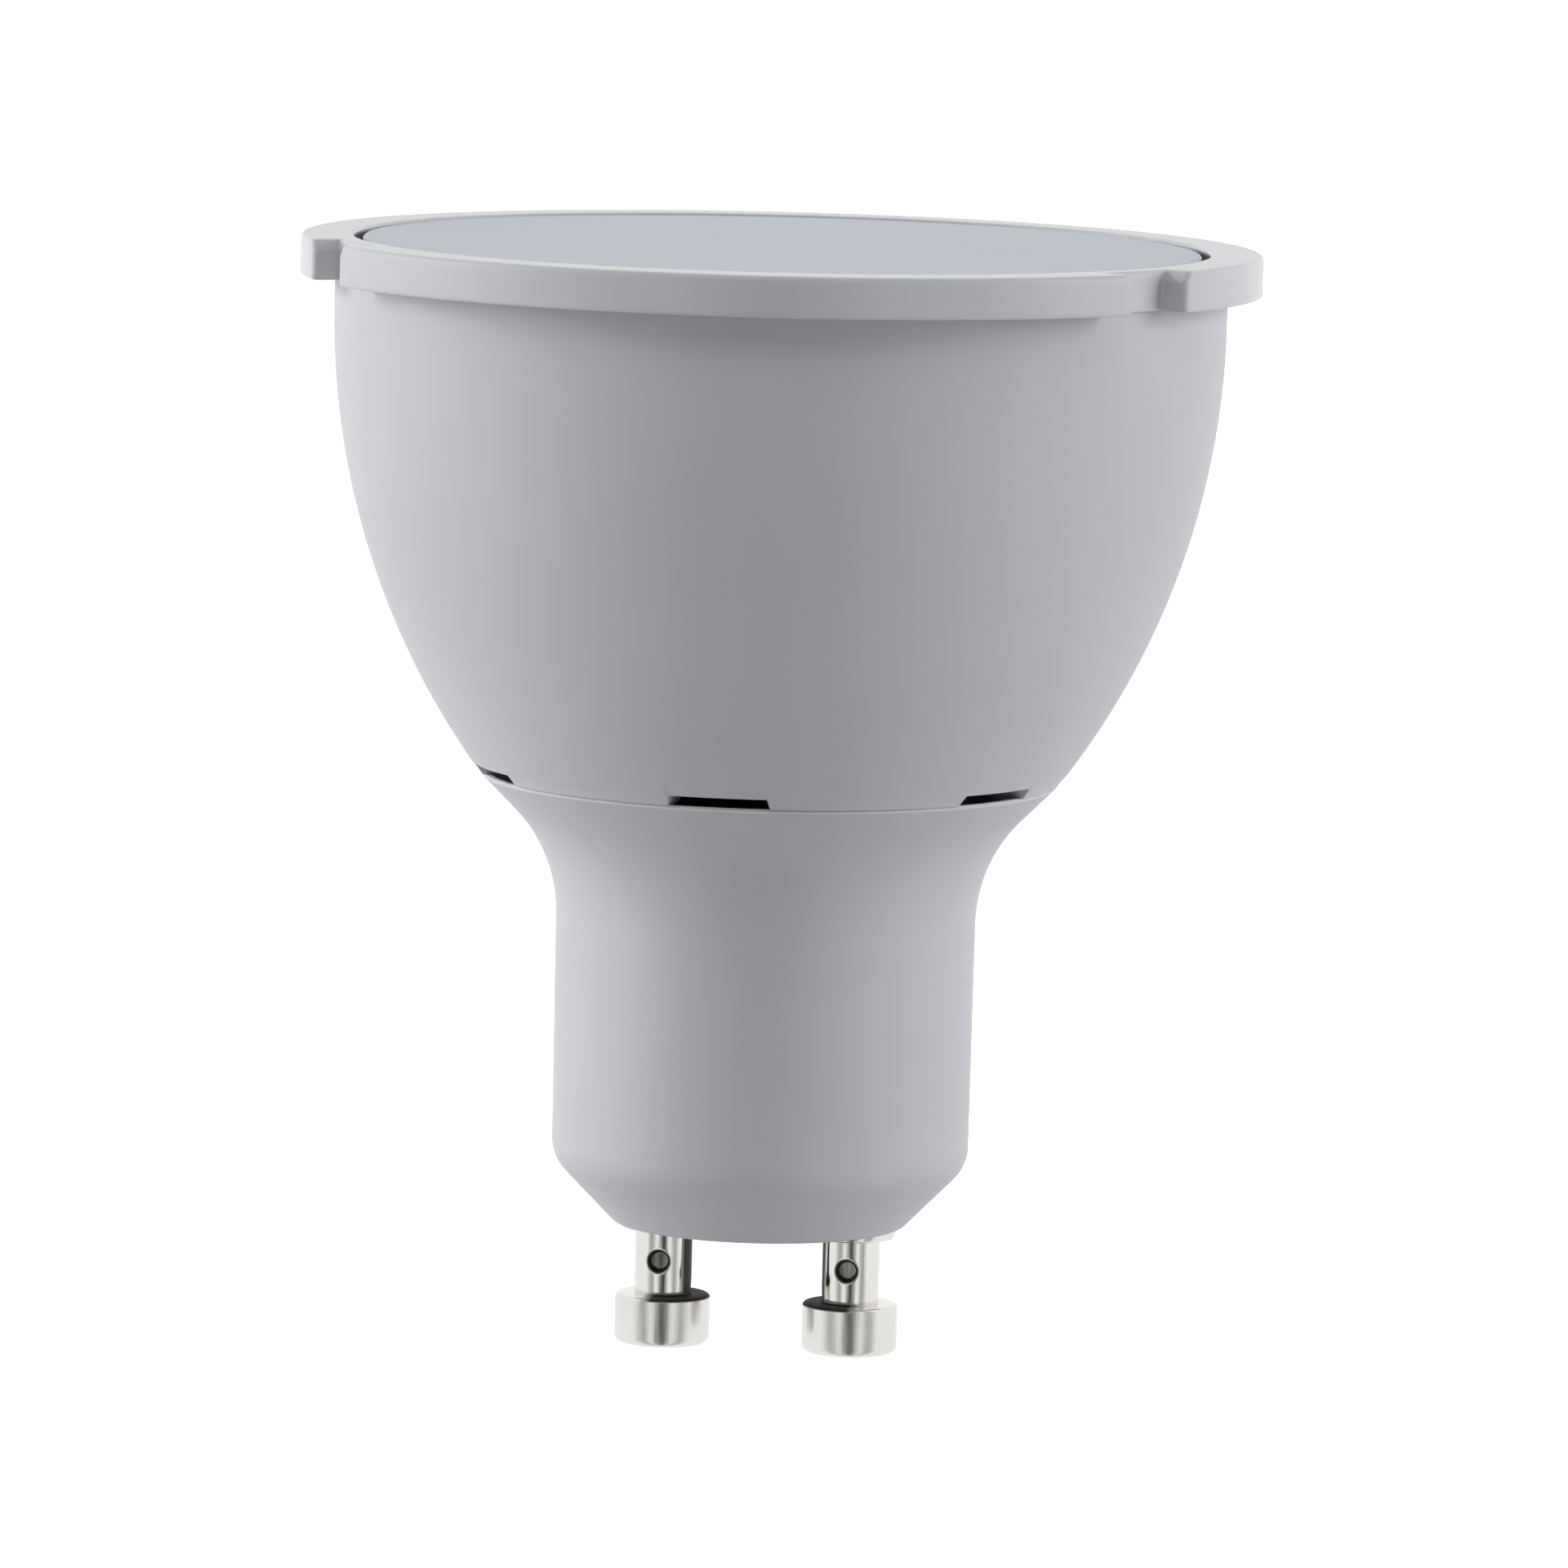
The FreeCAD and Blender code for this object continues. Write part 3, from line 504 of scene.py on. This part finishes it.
def turned_piece(name, points, finish, tree=lathe, segments=192, **sizes):
    """A finished piece that the lathe tree, or one built on it, makes from a half-section."""
    return finished(name, run_tree(
        section_mesh(name + "_section", points), tree,
        **{"Segments": segments, "Sweep Radius": sweep_radius * MM,
           "Merge Distance": merge_distance, "Material": finish}, **sizes))


# %% [markdown]
# ## Front ring
# The ring closes the cup and carries the lens. Two notches in its rim take the tabs of a
# fixing ring. A Boolean could cut them, but it leaves long thin faces and no roundings. So one
# third of the ring is built as a stack of outlines, from the skirt up and back down inside:
# each outline has the same number of points, and where it crosses the notch it turns inward.
# Pulling an outline back by a little at each step rounds every edge of the notch at once.

# %% One outline of the ring
ring_radius = round(ring_high.x, 2)
notch_half = 2.1
notch_floor = 23.5
notch_chamfer = 0.5
corner_radius = 0.32
inner_corner = 0.15
least_rounding = 0.05
third = math.radians(120.0)
right_angle = math.radians(90.0)
corner_turn = 0.94 * right_angle
floor_steps = 5
inner_steps = 4
corner_steps = 6
arc_steps = 52


def ring_outline(height, inset=0.0, widen=0.0):
    """Half an outline of the ring's outside, from a notch's middle round to 60 degrees."""
    half = notch_half + widen + inset
    low = notch_floor - inset
    outer = ring_radius - inset
    bend = math.asin((half - inner_corner) / (low + inner_corner))
    points = [(low * math.sin(bend * step / floor_steps),
               low * math.cos(bend * step / floor_steps)) for step in range(floor_steps + 1)]
    inner_x = half - inner_corner
    inner_y = math.sqrt((low + inner_corner) ** 2 - inner_x ** 2)
    for step in range(1, inner_steps + 1):
        angle = right_angle * step / inner_steps
        points.append((inner_x + inner_corner * math.sin(angle),
                       inner_y - inner_corner * math.cos(angle)))
    rounding = max(corner_radius - inset, least_rounding)
    corner_x = half + rounding
    corner_y = math.sqrt((outer - rounding) ** 2 - corner_x ** 2)
    for step in range(corner_steps + 1):
        angle = corner_turn * step / corner_steps
        points.append((corner_x - rounding * math.cos(angle),
                       corner_y + rounding * math.sin(angle)))
    start = math.atan2(corner_x, corner_y)
    for step in range(arc_steps + 1):
        angle = start + (third / 2 - start) * step / arc_steps
        points.append((outer * math.sin(angle), outer * math.cos(angle)))
    return [(x, y, height) for x, y in points]


print(len(ring_outline(top_z)), "points in half an outline")

# %% [markdown]
# A plain circle joins the stack with the same number of points. Those that meet the notch's
# floor stop short of its corner, and those that meet the outer end of its wall lie past the
# wall. So no two faces cross on the ring's flat top.

# %% One circle of the ring, and the stack
opening_radius = 22.25
widest_half = notch_half + notch_chamfer
short_of_corner = 0.85
past_wall = 0.1
floor_end = short_of_corner * math.asin(notch_half / notch_floor)
wall_inner = math.asin(widest_half / notch_floor)
wall_outer = math.asin((widest_half + past_wall) / opening_radius)
arc_start = math.atan2(widest_half + 2 * corner_radius, ring_radius)


def ring_circle(radius, height):
    """Half a circle of the ring, with as many points as an outline."""
    corner_points = corner_steps + 1
    angles = [floor_end * i / floor_steps for i in range(floor_steps + 1)]
    angles += [floor_end + (wall_inner - floor_end) * i / inner_steps
               for i in range(1, inner_steps + 1)]
    angles += [wall_outer + (arc_start - wall_outer) * i / corner_points
               for i in range(corner_points)]
    angles += [arc_start + (third / 2 - arc_start) * i / arc_steps
               for i in range(arc_steps + 1)]
    return [(radius * math.sin(a), radius * math.cos(a), height) for a in angles]


def arc_insets(edge, steps=3):
    """Inset and height of the points of a quarter-round edge, from its face to its top."""
    return [(edge * (1 - math.cos(right_angle * i / steps)),
             edge * math.sin(right_angle * i / steps)) for i in range(steps + 1)]


rim_edge = 0.24
inner_edge = 0.18
bottom_edge = 0.14
seat_z = lens_high.z - 1.3
seat_radius = 21.15
skirt_radius = 22.0
skirt_bead = 0.25
skirt_z = ring_low.z
chamfer_z = top_z - notch_chamfer
face_rows = (rim_z + 0.3, (rim_z + top_z) / 2, chamfer_z - 0.15, chamfer_z - 0.05)
chamfer_rows = (chamfer_z + 0.05, top_z - rim_edge)


def ring_stack(outline):
    """Every outline of half a third of the ring, from the skirt up and down again inside."""
    stack = [
        ring_circle(seat_radius, skirt_z),
        ring_circle(skirt_radius - skirt_bead, skirt_z),
        ring_circle(skirt_radius, skirt_z + 2 * skirt_bead),
        ring_circle(skirt_radius, rim_z),
    ]
    for inset, rise in reversed(arc_insets(bottom_edge)):
        stack.append(outline(rim_z + bottom_edge - rise, inset))
    for height in face_rows:
        stack.append(outline(height))
    for height in chamfer_rows:
        stack.append(outline(height, widen=height - chamfer_z))
    for inset, rise in arc_insets(rim_edge)[1:]:
        stack.append(outline(top_z - rim_edge + rise, inset, notch_chamfer - rim_edge))
    for inset, rise in reversed(arc_insets(inner_edge)):
        stack.append(ring_circle(opening_radius + inset, top_z - inner_edge + rise))
    stack.append(ring_circle(opening_radius, seat_z))
    stack.append(ring_circle(seat_radius, seat_z))
    return stack


def plain_outline(height, inset=0.0, widen=0.0):
    """Half an outline of the third that has no notch."""
    return ring_circle(ring_radius - inset, height)


print(len(ring_stack(ring_outline)), "outlines")

# %% [markdown]
# The half outlines are mirrored into one third of the ring, and a second tree repeats that
# third round the axis. The notched third stands twice at the front, and a plain one closes the
# back, where the outline in the photo is a smooth arc.

# %% Ring: one third, and the tree that repeats it


def sector_mesh(name, columns):
    """A mesh of squares between columns of points. The last row joins the first."""
    rows = len(columns[0])
    points = [(x * MM, y * MM, z * MM) for column in columns for x, y, z in column]
    faces = []
    for here in range(len(columns) - 1):
        for row in range(rows):
            below = here * rows + row
            above_row = here * rows + (row + 1) % rows
            faces.append((below, below + rows, above_row + rows, above_row))
    mesh = bpy.data.meshes.new(name)
    mesh.from_pydata(points, [], faces)
    return mesh


def mirrored(stack):
    """The columns of a whole sector, from the stack of half outlines."""
    right_half = [list(column) for column in zip(*stack)]
    left_half = [[(-x, y, z) for x, y, z in column] for column in reversed(right_half[1:])]
    return left_half + right_half


repeat, given, result = new_tree("repeat_round_axis", {
    "Count": "Int", "First Angle": "Float", "Step Angle": "Float", "Merge Distance": "Float",
    "Material": "Material"})
places = add(repeat, "GeometryNodePoints", {"Count": given["Count"]})
number = add(repeat, "GeometryNodeInputIndex")
turn = maths(repeat, "MULTIPLY_ADD", number.outputs[0], given["Step Angle"],
             given["First Angle"])
spin = add(repeat, "ShaderNodeCombineXYZ", {"Z": turn})
copies = add(repeat, "GeometryNodeInstanceOnPoints", {
    "Points": places.outputs[0], "Instance": given["Geometry"], "Rotation": spin.outputs[0]})
end_tree(repeat, copies.outputs["Instances"], given, result)

front_ring = finished("front_ring", *[
    run_tree(sector_mesh("ring_third", mirrored(ring_stack(outline))), repeat,
             **{"Count": count, "First Angle": first * third, "Step Angle": third,
                "Merge Distance": merge_distance, "Material": ring_plastic})
    for outline, count, first in ((ring_outline, 2, 1), (plain_outline, 1, 0))])
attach(front_ring, "root")
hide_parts("bezel_ring")

# %% [markdown]
# ## Cup
# The cup is an arc that turns upright just below the ring, with six vent slots in its lower
# edge. It follows the same plan as the ring, but the other way up: one sixth of it is built as
# a row of half-sections, and near the vent the lower end of each section is lifted. Every
# section keeps the same number of points, so the slot gets walls and a rounded lip for free.

# %% Cup: one sixth
cup_radius = 23.2
cup_straight = 1.7
seam_radius = 15.17
cup_wall = 1.4
face_steps = 40
wall_steps = 12
land_radius = 13.37
land_height = 1.8
mouth_radius = 22.1
mouth_depth = 3.1
lip = 0.1
vent_height = 0.56
vent_half = 2.7
vent_slope = 0.25
sixth = math.radians(60.0)
tangent_z = rim_z - cup_straight
bulge = cup_radius - seam_radius
arc_radius = (bulge ** 2 + (tangent_z - seam_z) ** 2) / (2 * bulge)


def cup_at(height, inset=0.0):
    """The radius of the cup's face at a height, or of a face that lies inset behind it."""
    drop = max(tangent_z - height, 0.0)
    return cup_radius - arc_radius + math.sqrt((arc_radius - inset) ** 2 - drop ** 2)


def cup_section(low):
    """One half-section of the cup whose lower end is at a given height."""
    points = [(land_radius + lip, low)]
    edge = cup_at(low)
    for inset, rise in reversed(arc_insets(lip)):
        points.append((edge - inset, low + lip - rise))
    land_z = seam_z + land_height
    first = low + lip
    for i in range(1, face_steps + 1):
        height = first + (tangent_z - first) * i / face_steps
        points.append((cup_at(height), height))
    points += [(cup_radius, rim_z), (mouth_radius, rim_z), (mouth_radius, rim_z - mouth_depth)]
    inner_top = rim_z - mouth_depth
    for i in range(wall_steps + 1):
        height = inner_top + (land_z - inner_top) * i / wall_steps
        points.append((cup_at(height, cup_wall), height))
    points += [(land_radius, land_z), (land_radius, low + lip)]
    return points


def vent_lift(x):
    """How far a vent lifts the cup's lower edge, at a distance from the vent's middle."""
    share = min(max((vent_half - x) / vent_slope, 0.0), 1.0)
    return vent_height * (0.5 - 0.5 * math.cos(math.pi * share))


vent_columns = [0.0, 0.6, 1.2, 1.8, 2.25, 2.4, 2.45, 2.48, 2.52, 2.56, 2.6, 2.64, 2.67, 2.7,
                2.75, 2.9]
plain_steps = 20
angles = [math.asin(x / seam_radius) for x in vent_columns]
angles += [angles[-1] + (sixth / 2 - angles[-1]) * (i + 1) / plain_steps
           for i in range(plain_steps)]
lifts = [vent_lift(seam_radius * math.sin(angle)) for angle in angles]
columns = [[(r * math.sin(angle), -r * math.cos(angle), z)
            for r, z in cup_section(seam_z + lift)] for angle, lift in zip(angles, lifts)]
cup = finished("cup", run_tree(
    sector_mesh("cup_sixth", mirrored(zip(*columns))), repeat,
    **{"Count": 6, "First Angle": 0.0, "Step Angle": sixth,
       "Merge Distance": merge_distance, "Material": housing_plastic}))
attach(cup, "root")
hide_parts("upper_housing")

# %% [markdown]
# ## Frosted lens
# The lens is a disc of clear polycarbonate that is frosted all through, so it scatters the
# diodes' light and hides them when the lamp is off. By daylight it is a pale, slightly blue
# grey with a dull shine. Real transmission would cost render time and show little through
# frost this dense, so slow clouds of tone stand for the light that wanders inside it. The
# frosting is finer than 0.1 mm and is drawn at 0.25 mm.

# %% Frosted polycarbonate
haze_size = 12.0
frost_size = 0.25
frost_depth = 0.02
frosted, tree, shader, place = new_material("frosted_polycarbonate")
milk = two_tones(tree, place, "#C7CCD5", "#BFC4CD", haze_size)
tree.links.new(milk, shader.inputs["Base Color"])
fine_grain(tree, shader, place, frost_size, frost_depth, 0.1, (0.5, 0.6))
shader.inputs["IOR"].default_value = 1.58
shader.inputs["Specular IOR Level"].default_value = 0.2
print(frosted.name)

# %% [markdown]
# The disc is turned, so the lathe tree makes it. Its top edge is rounded, and a low rib stands
# round its underside, which keeps the disc in the middle of its seat.

# %% Lens disc
lens_radius = 21.8
lens_edge = 0.2
lens_top_z = lens_high.z + 0.06
lens_under_z = seat_z + 0.2
rib_outer = 21.05
rib_inner = 20.55
lens = turned_piece("lens_disc", rounded([
    (0.0, lens_under_z, 0), (rib_inner, lens_under_z, 0), (rib_inner, lens_low.z, 0),
    (rib_outer, lens_low.z, 0), (rib_outer, lens_under_z, 0), (lens_radius, lens_under_z, 0.05),
    (lens_radius, lens_top_z, lens_edge), (lens_radius - 1.0, lens_top_z, 0),
    (lens_radius / 2, lens_top_z, 0), (0.0, lens_top_z, 0)]), frosted)
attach(lens, "root")
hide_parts("diffuser_lens")

# %% [markdown]
# ## Contact pins
# The pins are turned from brass rod and plated with bright nickel. The plating is a mirror,
# but the turning left faint rings, so reflections smear a little up and down the pin, and the
# rod was never quite round, so they break up into upright streaks. The feet are scuffed by
# the holder's contacts, and so a little rougher.

# %% Bright nickel plating
foot_top = 2.6
ring_spacing = 0.12
streak_spacing = 0.5
cloud_size = 1.6
ring_stretch = (0.04, 0.04, 1.0)
streak_stretch = (1.0, 1.0, 0.15)
polished = (0.06, 0.12)
scuffed = 0.14
nickel, tree, shader, place = new_material("bright_nickel_plating")
stretched = add(tree, "ShaderNodeMapping", {"Vector": place, "Scale": ring_stretch})
rings = noise(tree, stretched.outputs["Vector"], ring_spacing)
drawn = add(tree, "ShaderNodeMapping", {"Vector": place, "Scale": streak_stretch})
streaks = noise(tree, drawn.outputs["Vector"], streak_spacing)
uneven = add(tree, "ShaderNodeBump", {"Height": streaks, "Strength": 0.5,
                                      "Distance": 0.03 * MM})
relief = add(tree, "ShaderNodeBump", {"Height": rings, "Strength": 0.08,
                                      "Distance": 0.01 * MM,
                                      "Normal": uneven.outputs["Normal"]})
clouds = noise(tree, place, cloud_size, detail=3.0)
polish = ranged(tree, clouds, (0.3, 0.7), polished)
along = add(tree, "ShaderNodeSeparateXYZ", {"Vector": place}).outputs
scuffs = ranged(tree, along["Z"], ((foot_top - 0.2) * MM, (foot_top + 0.1) * MM),
                (scuffed, 0.0))
wear = maths(tree, "ADD", polish, scuffs)
tint = mixed(tree, clouds, colour("#E0DED9"), colour("#EBEAE6"))
tree.links.new(relief.outputs["Normal"], shader.inputs["Normal"])
print(nickel.name)

# %% [markdown]
# Where the two pins face each other the plating is painted nearly black: on the inner half of
# each foot's top and down the inner edge of each stem. It is a painted dark reflection, of the
# shade between and under the pins. The pressed dimples get painted shade: a dark ring in their
# corner and a patchy darker floor. Each mark is a range of heights or distances, measured from
# the pin's axis, with soft ends. The painted dark is dull and no metal, so the marks also lower
# the metallic value and raise the roughness.

# %% Painted dark reflections and painted shade on the pins
pin_side = 5.0
stem = 1.5
collar_z = 6.05
dimple_z = 4.45
dimple_floor = 0.42
dimple_mouth = 0.63
# Extra roughness where the painted dark lies
painted_dark_roughness = 0.5
nickel_tree = tree


def ramp(value, start, end):
    """A soft step from 0 at one distance to 1 at another, both in millimetres."""
    return ranged(nickel_tree, value, (start * MM, end * MM))


def both_marks(first, second, operation="MULTIPLY"):
    """Two marks as one: where both are, or with MAXIMUM where either is."""
    return maths(nickel_tree, operation, first, second)


aside = maths(tree, "ABSOLUTE", along["X"])
inward = maths(tree, "SUBTRACT", pin_side * MM, aside)
height = along["Z"]
# Painted dark reflection: near black on the inner half of each foot's top and the inner edge of
# each stem
foot_dark_reflection = both_marks(ramp(inward, -0.8, -0.2),
                       both_marks(ramp(height, foot_top - 0.18, foot_top - 0.12),
                                  ramp(height, foot_top + 0.2, foot_top + 0.06)))
stem_dark_reflection = both_marks(ramp(inward, stem - 0.38, stem - 0.22),
                       both_marks(ramp(height, foot_top, foot_top + 0.1),
                                  ramp(height, collar_z - 0.02, collar_z - 0.08)))
rise = maths(tree, "SUBTRACT", height, dimple_z * MM)
offset = add(tree, "ShaderNodeCombineXYZ", {"X": inward, "Y": rise})
reach = add(tree, "ShaderNodeVectorMath", {0: offset.outputs[0]},
            operation="LENGTH").outputs["Value"]
# Painted shade in each dimple: a dark ring in its corner, and a patchy darker floor
dimple_corner_shade = both_marks(ramp(reach, dimple_floor - 0.04, dimple_floor + 0.03),
                  ramp(reach, dimple_mouth + 0.05, dimple_mouth - 0.05))
floor_shade_patches = ranged(tree, streaks, (0.35, 0.65), (0.45, 0.9))
dimple_floor_shade = both_marks(ramp(reach, dimple_floor + 0.02, dimple_floor - 0.04), floor_shade_patches)
# All painted dark, reflection and shade, as one mask
painted_dark = both_marks(both_marks(foot_dark_reflection, stem_dark_reflection, "MAXIMUM"),
                   both_marks(dimple_corner_shade, dimple_floor_shade, "MAXIMUM"), "MAXIMUM")
# Painted dark, near black, in place of the nickel's tint
painted_dark_colour = mixed(tree, painted_dark, tint, colour("#1C1B19"))
shiny = maths(tree, "SUBTRACT", 1.0, painted_dark)
dulled = maths(tree, "MULTIPLY_ADD", painted_dark, painted_dark_roughness, wear)
tree.links.new(painted_dark_colour, shader.inputs["Base Color"])
tree.links.new(shiny, shader.inputs["Metallic"])
tree.links.new(dulled, shader.inputs["Roughness"])
print("marks from", len(tree.nodes), "nodes")

# %% [markdown]
# After assembly a tool presses a dimple in each side of the stem, which crimps the pin on its
# lead. It could be carved by hand or cut with a Boolean. It follows a rule instead: a point
# of the stem that is closer to the dimple's axis than its mouth moves inward, until a sloping
# wall or a flat floor stops it. Set Position does that for every point of the stem, and a
# smooth minimum rounds the dimple's mouth as the pressing tool does.

# %% The pin tree: lathe, dimples, and a move to the pin's side
pin_tree, given, result = new_tree("crimped_pin", {
    "Segments": "Int", "Sweep Radius": "Float", "Merge Distance": "Float",
    "Dimple Height": "Float", "Floor Radius": "Float", "Floor Distance": "Float",
    "Wall Slope": "Float", "Mouth Rounding": "Float", "Side": "Float", "Material": "Material"})
turned = add(pin_tree, "GeometryNodeGroup", {}, node_tree=lathe)
for label in ("Geometry", "Segments", "Sweep Radius", "Merge Distance", "Material"):
    pin_tree.links.new(given[label], turned.inputs[label])
spot = add(pin_tree, "GeometryNodeInputPosition")
along = add(pin_tree, "ShaderNodeSeparateXYZ", {"Vector": spot.outputs[0]}).outputs
up = maths(pin_tree, "SUBTRACT", along["Z"], given["Dimple Height"])
flat_place = add(pin_tree, "ShaderNodeCombineXYZ", {"X": along["X"], "Y": up})
away = add(pin_tree, "ShaderNodeVectorMath", {0: flat_place.outputs[0]}, operation="LENGTH")
past_floor = maths(pin_tree, "SUBTRACT", away.outputs["Value"], given["Floor Radius"])
on_wall = maths(pin_tree, "MAXIMUM", past_floor, 0.0)
allowed = maths(pin_tree, "MULTIPLY_ADD", on_wall, given["Wall Slope"], given["Floor Distance"])
out = maths(pin_tree, "ABSOLUTE", along["Y"])
pressed = maths(pin_tree, "SMOOTH_MIN", out, allowed, given["Mouth Rounding"])
facing = maths(pin_tree, "SIGN", along["Y"])
new_y = maths(pin_tree, "MULTIPLY", pressed, facing)
moved_x = maths(pin_tree, "ADD", along["X"], given["Side"])
moved = add(pin_tree, "ShaderNodeCombineXYZ", {"X": moved_x, "Y": new_y, "Z": along["Z"]})
dimpled = add(pin_tree, "GeometryNodeSetPosition", {"Geometry": turned.outputs["Geometry"],
                                                    "Position": moved.outputs[0]})
end_tree(pin_tree, dimpled.outputs["Geometry"], given, result)
print("pin tree", len(pin_tree.nodes), "nodes")

# %% [markdown]
# A pin's half-section runs from the middle of the foot up the stem and the collar, through the
# housing's floor to the riveted head, and back down its bore. Round the dimples the stem needs
# many rows of points, because only points can be moved.

# %% Pins
foot_radius = 2.5
collar_radius = 2.3
collar_top = 7.15
shank_radius = 1.7
floor_z = 9.35
head_radius = 2.2
bore_radius = 0.65
bore_bottom = 3.6
fine_rows = 44
fine_reach = 1.1
floor_from_axis = 1.0
wall_slope = 2.2
mouth_rounding = 0.16
pin_points = rounded([
    (0.0, 0.0, 0), (foot_radius, 0.0, 0.4), (foot_radius, foot_top, 0.2),
    (stem, foot_top, 0.12)])
for i in range(fine_rows + 1):
    pin_points.append(Vector((stem, dimple_z + fine_reach * (2 * i / fine_rows - 1))))
pin_points += rounded([
    (stem, collar_z, 0), (collar_radius, collar_z, 0.2), (collar_radius, collar_top, 0),
    (shank_radius, collar_top, 0), (shank_radius, floor_z, 0), (head_radius, floor_z, 0),
    (head_radius, pin_top_z, 0.15), (bore_radius, pin_top_z, 0.1),
    (bore_radius, bore_bottom, 0), (0.0, bore_bottom, 0)])
for word, side in (("left", -1), ("right", 1)):
    pin = turned_piece("pin_" + word, pin_points, nickel, tree=pin_tree, segments=224,
                       **{"Dimple Height": dimple_z * MM, "Floor Radius": dimple_floor * MM,
                          "Floor Distance": floor_from_axis * MM, "Wall Slope": wall_slope,
                          "Mouth Rounding": mouth_rounding * MM,
                          "Side": side * pin_side * MM})
    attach(pin, "root")
    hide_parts("contact_pin_" + word)

# %% [markdown]
# ## Parts that stay as they are
# The neck and everything inside the lamp already have their right shape in the CAD model. Each
# gets its real material. Most of these are one kind of surface: two close tones that drift over
# a few millimetres, a fine grain, and their own shine, so one function makes them all.

# %% Finishes of the inner parts
gloss_range = 0.08


def mottled(name, light, dark, size, roughness, relief_size, metallic=0.0, shine=0.5):
    """A surface of two close tones with a fine grain. Sizes in millimetres."""
    made, tree, shader, place = new_material(name)
    tree.links.new(two_tones(tree, place, light, dark, size, detail=4.0),
                   shader.inputs["Base Color"])
    fine_grain(tree, shader, place, relief_size, relief_size / 8, 0.3,
               (roughness - gloss_range, roughness + gloss_range))
    shader.inputs["Metallic"].default_value = metallic
    if metallic == 0.0:
        shader.inputs["IOR"].default_value = 1.5
        shader.inputs["Specular IOR Level"].default_value = shine
    return made


# Sheet aluminium as rolled has a silky shine, and zinc-plated steel a greyer one
aluminium = mottled("rolled_aluminium", "#D6D7D9", "#C8C9CC", 3.0, 0.32, 0.3, metallic=1.0)
screw_steel = mottled("zinc_plated_steel", "#B9BABC", "#A6A8AB", 0.8, 0.3, 0.1, metallic=1.0)
# Silicones are soft to the eye too, nearly without shine
# Black rubber for the lens gasket, which is painted shade in the gap round the lens
gap_shade_rubber = mottled("black_gap_shade_rubber", "#101011", "#0A0A0B", 1.5, 0.7, 0.15,
                        shine=0.1)
pad_silicone = mottled("thermal_silicone_sheet", "#A9B2BB", "#9BA5AF", 2.0, 0.75, 0.2)
bush_silicone = mottled("white_silicone_rubber", "#DBDAD5", "#CFCEC8", 1.5, 0.55, 0.15)
# Solder mask is a thin glossy lacquer, and phosphor a dull yellow gel
white_mask = mottled("white_solder_mask", "#EDEDE8", "#E2E2DC", 2.5, 0.28, 0.25)
green_mask = mottled("green_solder_mask", "#1D5C33", "#154A28", 2.0, 0.25, 0.3)
phosphor = mottled("phosphor_gel", "#EBD255", "#E0C342", 0.6, 0.5, 0.1)
# Ferrite is a dull dark ceramic, and enamelled wire shines like copper under varnish
ferrite = mottled("sintered_ferrite", "#28282A", "#1B1B1D", 0.5, 0.6, 0.12)
copper = mottled("enamelled_copper", "#B8693A", "#A05830", 0.3, 0.3, 0.08, metallic=1.0)
# Shrink sleeve is glossy film, the film capacitor's box, the cement and the epoxy are matt
sleeve = mottled("shrink_sleeve", "#1D2026", "#15171C", 2.0, 0.3, 0.2)
film_case = mottled("polyester_box", "#C9A437", "#BC962C", 2.0, 0.5, 0.2)
cement = mottled("resistor_cement", "#5D8190", "#517381", 0.8, 0.65, 0.1)
epoxy = mottled("black_moulding_epoxy", "#161617", "#0F0F10", 0.6, 0.6, 0.08)
# The leads' silicone has a faint shine from the die it was drawn through
black_lead = mottled("black_silicone_lead", "#131313", "#0D0D0D", 1.0, 0.45, 0.15)
red_lead = mottled("red_silicone_lead", "#9C1A15", "#86130F", 1.0, 0.45, 0.15)

finishes = {
    "base_housing": neck_plastic, "heat_spreader": aluminium,
    "thermal_pad": pad_silicone, "led_board": white_mask, "led_packages": phosphor,
    "board_screws": screw_steel, "lead_grommet": bush_silicone,
    "driver_board": green_mask, "choke_core": ferrite, "choke_winding": copper,
    "input_capacitor": sleeve, "output_capacitor": sleeve, "film_capacitor": film_case,
    "fusible_resistor": cement, "bridge_rectifier": epoxy, "driver_chip": epoxy,
    "output_diode": epoxy, "small_resistors": epoxy, "supply_lead_left": black_lead,
    "supply_lead_right": black_lead, "output_lead_positive": red_lead,
    "output_lead_negative": black_lead,
}
for node, finish in finishes.items():
    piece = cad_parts[node]
    piece.data.materials.clear()
    piece.data.materials.append(finish)
print(len(finishes), "CAD nodes finished")

# %% [markdown]
# ## Lens gasket
# The lens rests on a soft black ring. Its lip stands up between lens and front ring, fills most
# of the gap there, and makes the thin black line round the lens. Ring and lip are painted shade:
# their black stands in for the shade that falls deep in that narrow gap. It is a turned shape
# too, so the lathe tree makes it from an L-shaped section.

# %% Gasket
gasket_inner = 21.2
gasket_outer = 22.2
lip_inner = 21.86
lip_edge = 0.05
lip_top_z = lens_high.z - 0.1
# The black gasket and its lip stand in for the shade deep in the gap between lens and ring
gasket = turned_piece("gasket", rounded([
    (gasket_inner, seat_z, 0), (gasket_outer, seat_z, 0), (gasket_outer, lip_top_z, lip_edge),
    (lip_inner, lip_top_z, lip_edge), (lip_inner, lens_under_z, 0),
    (gasket_inner, lens_under_z, 0)]), gap_shade_rubber)
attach(gasket, "root")
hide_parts("lens_gasket")
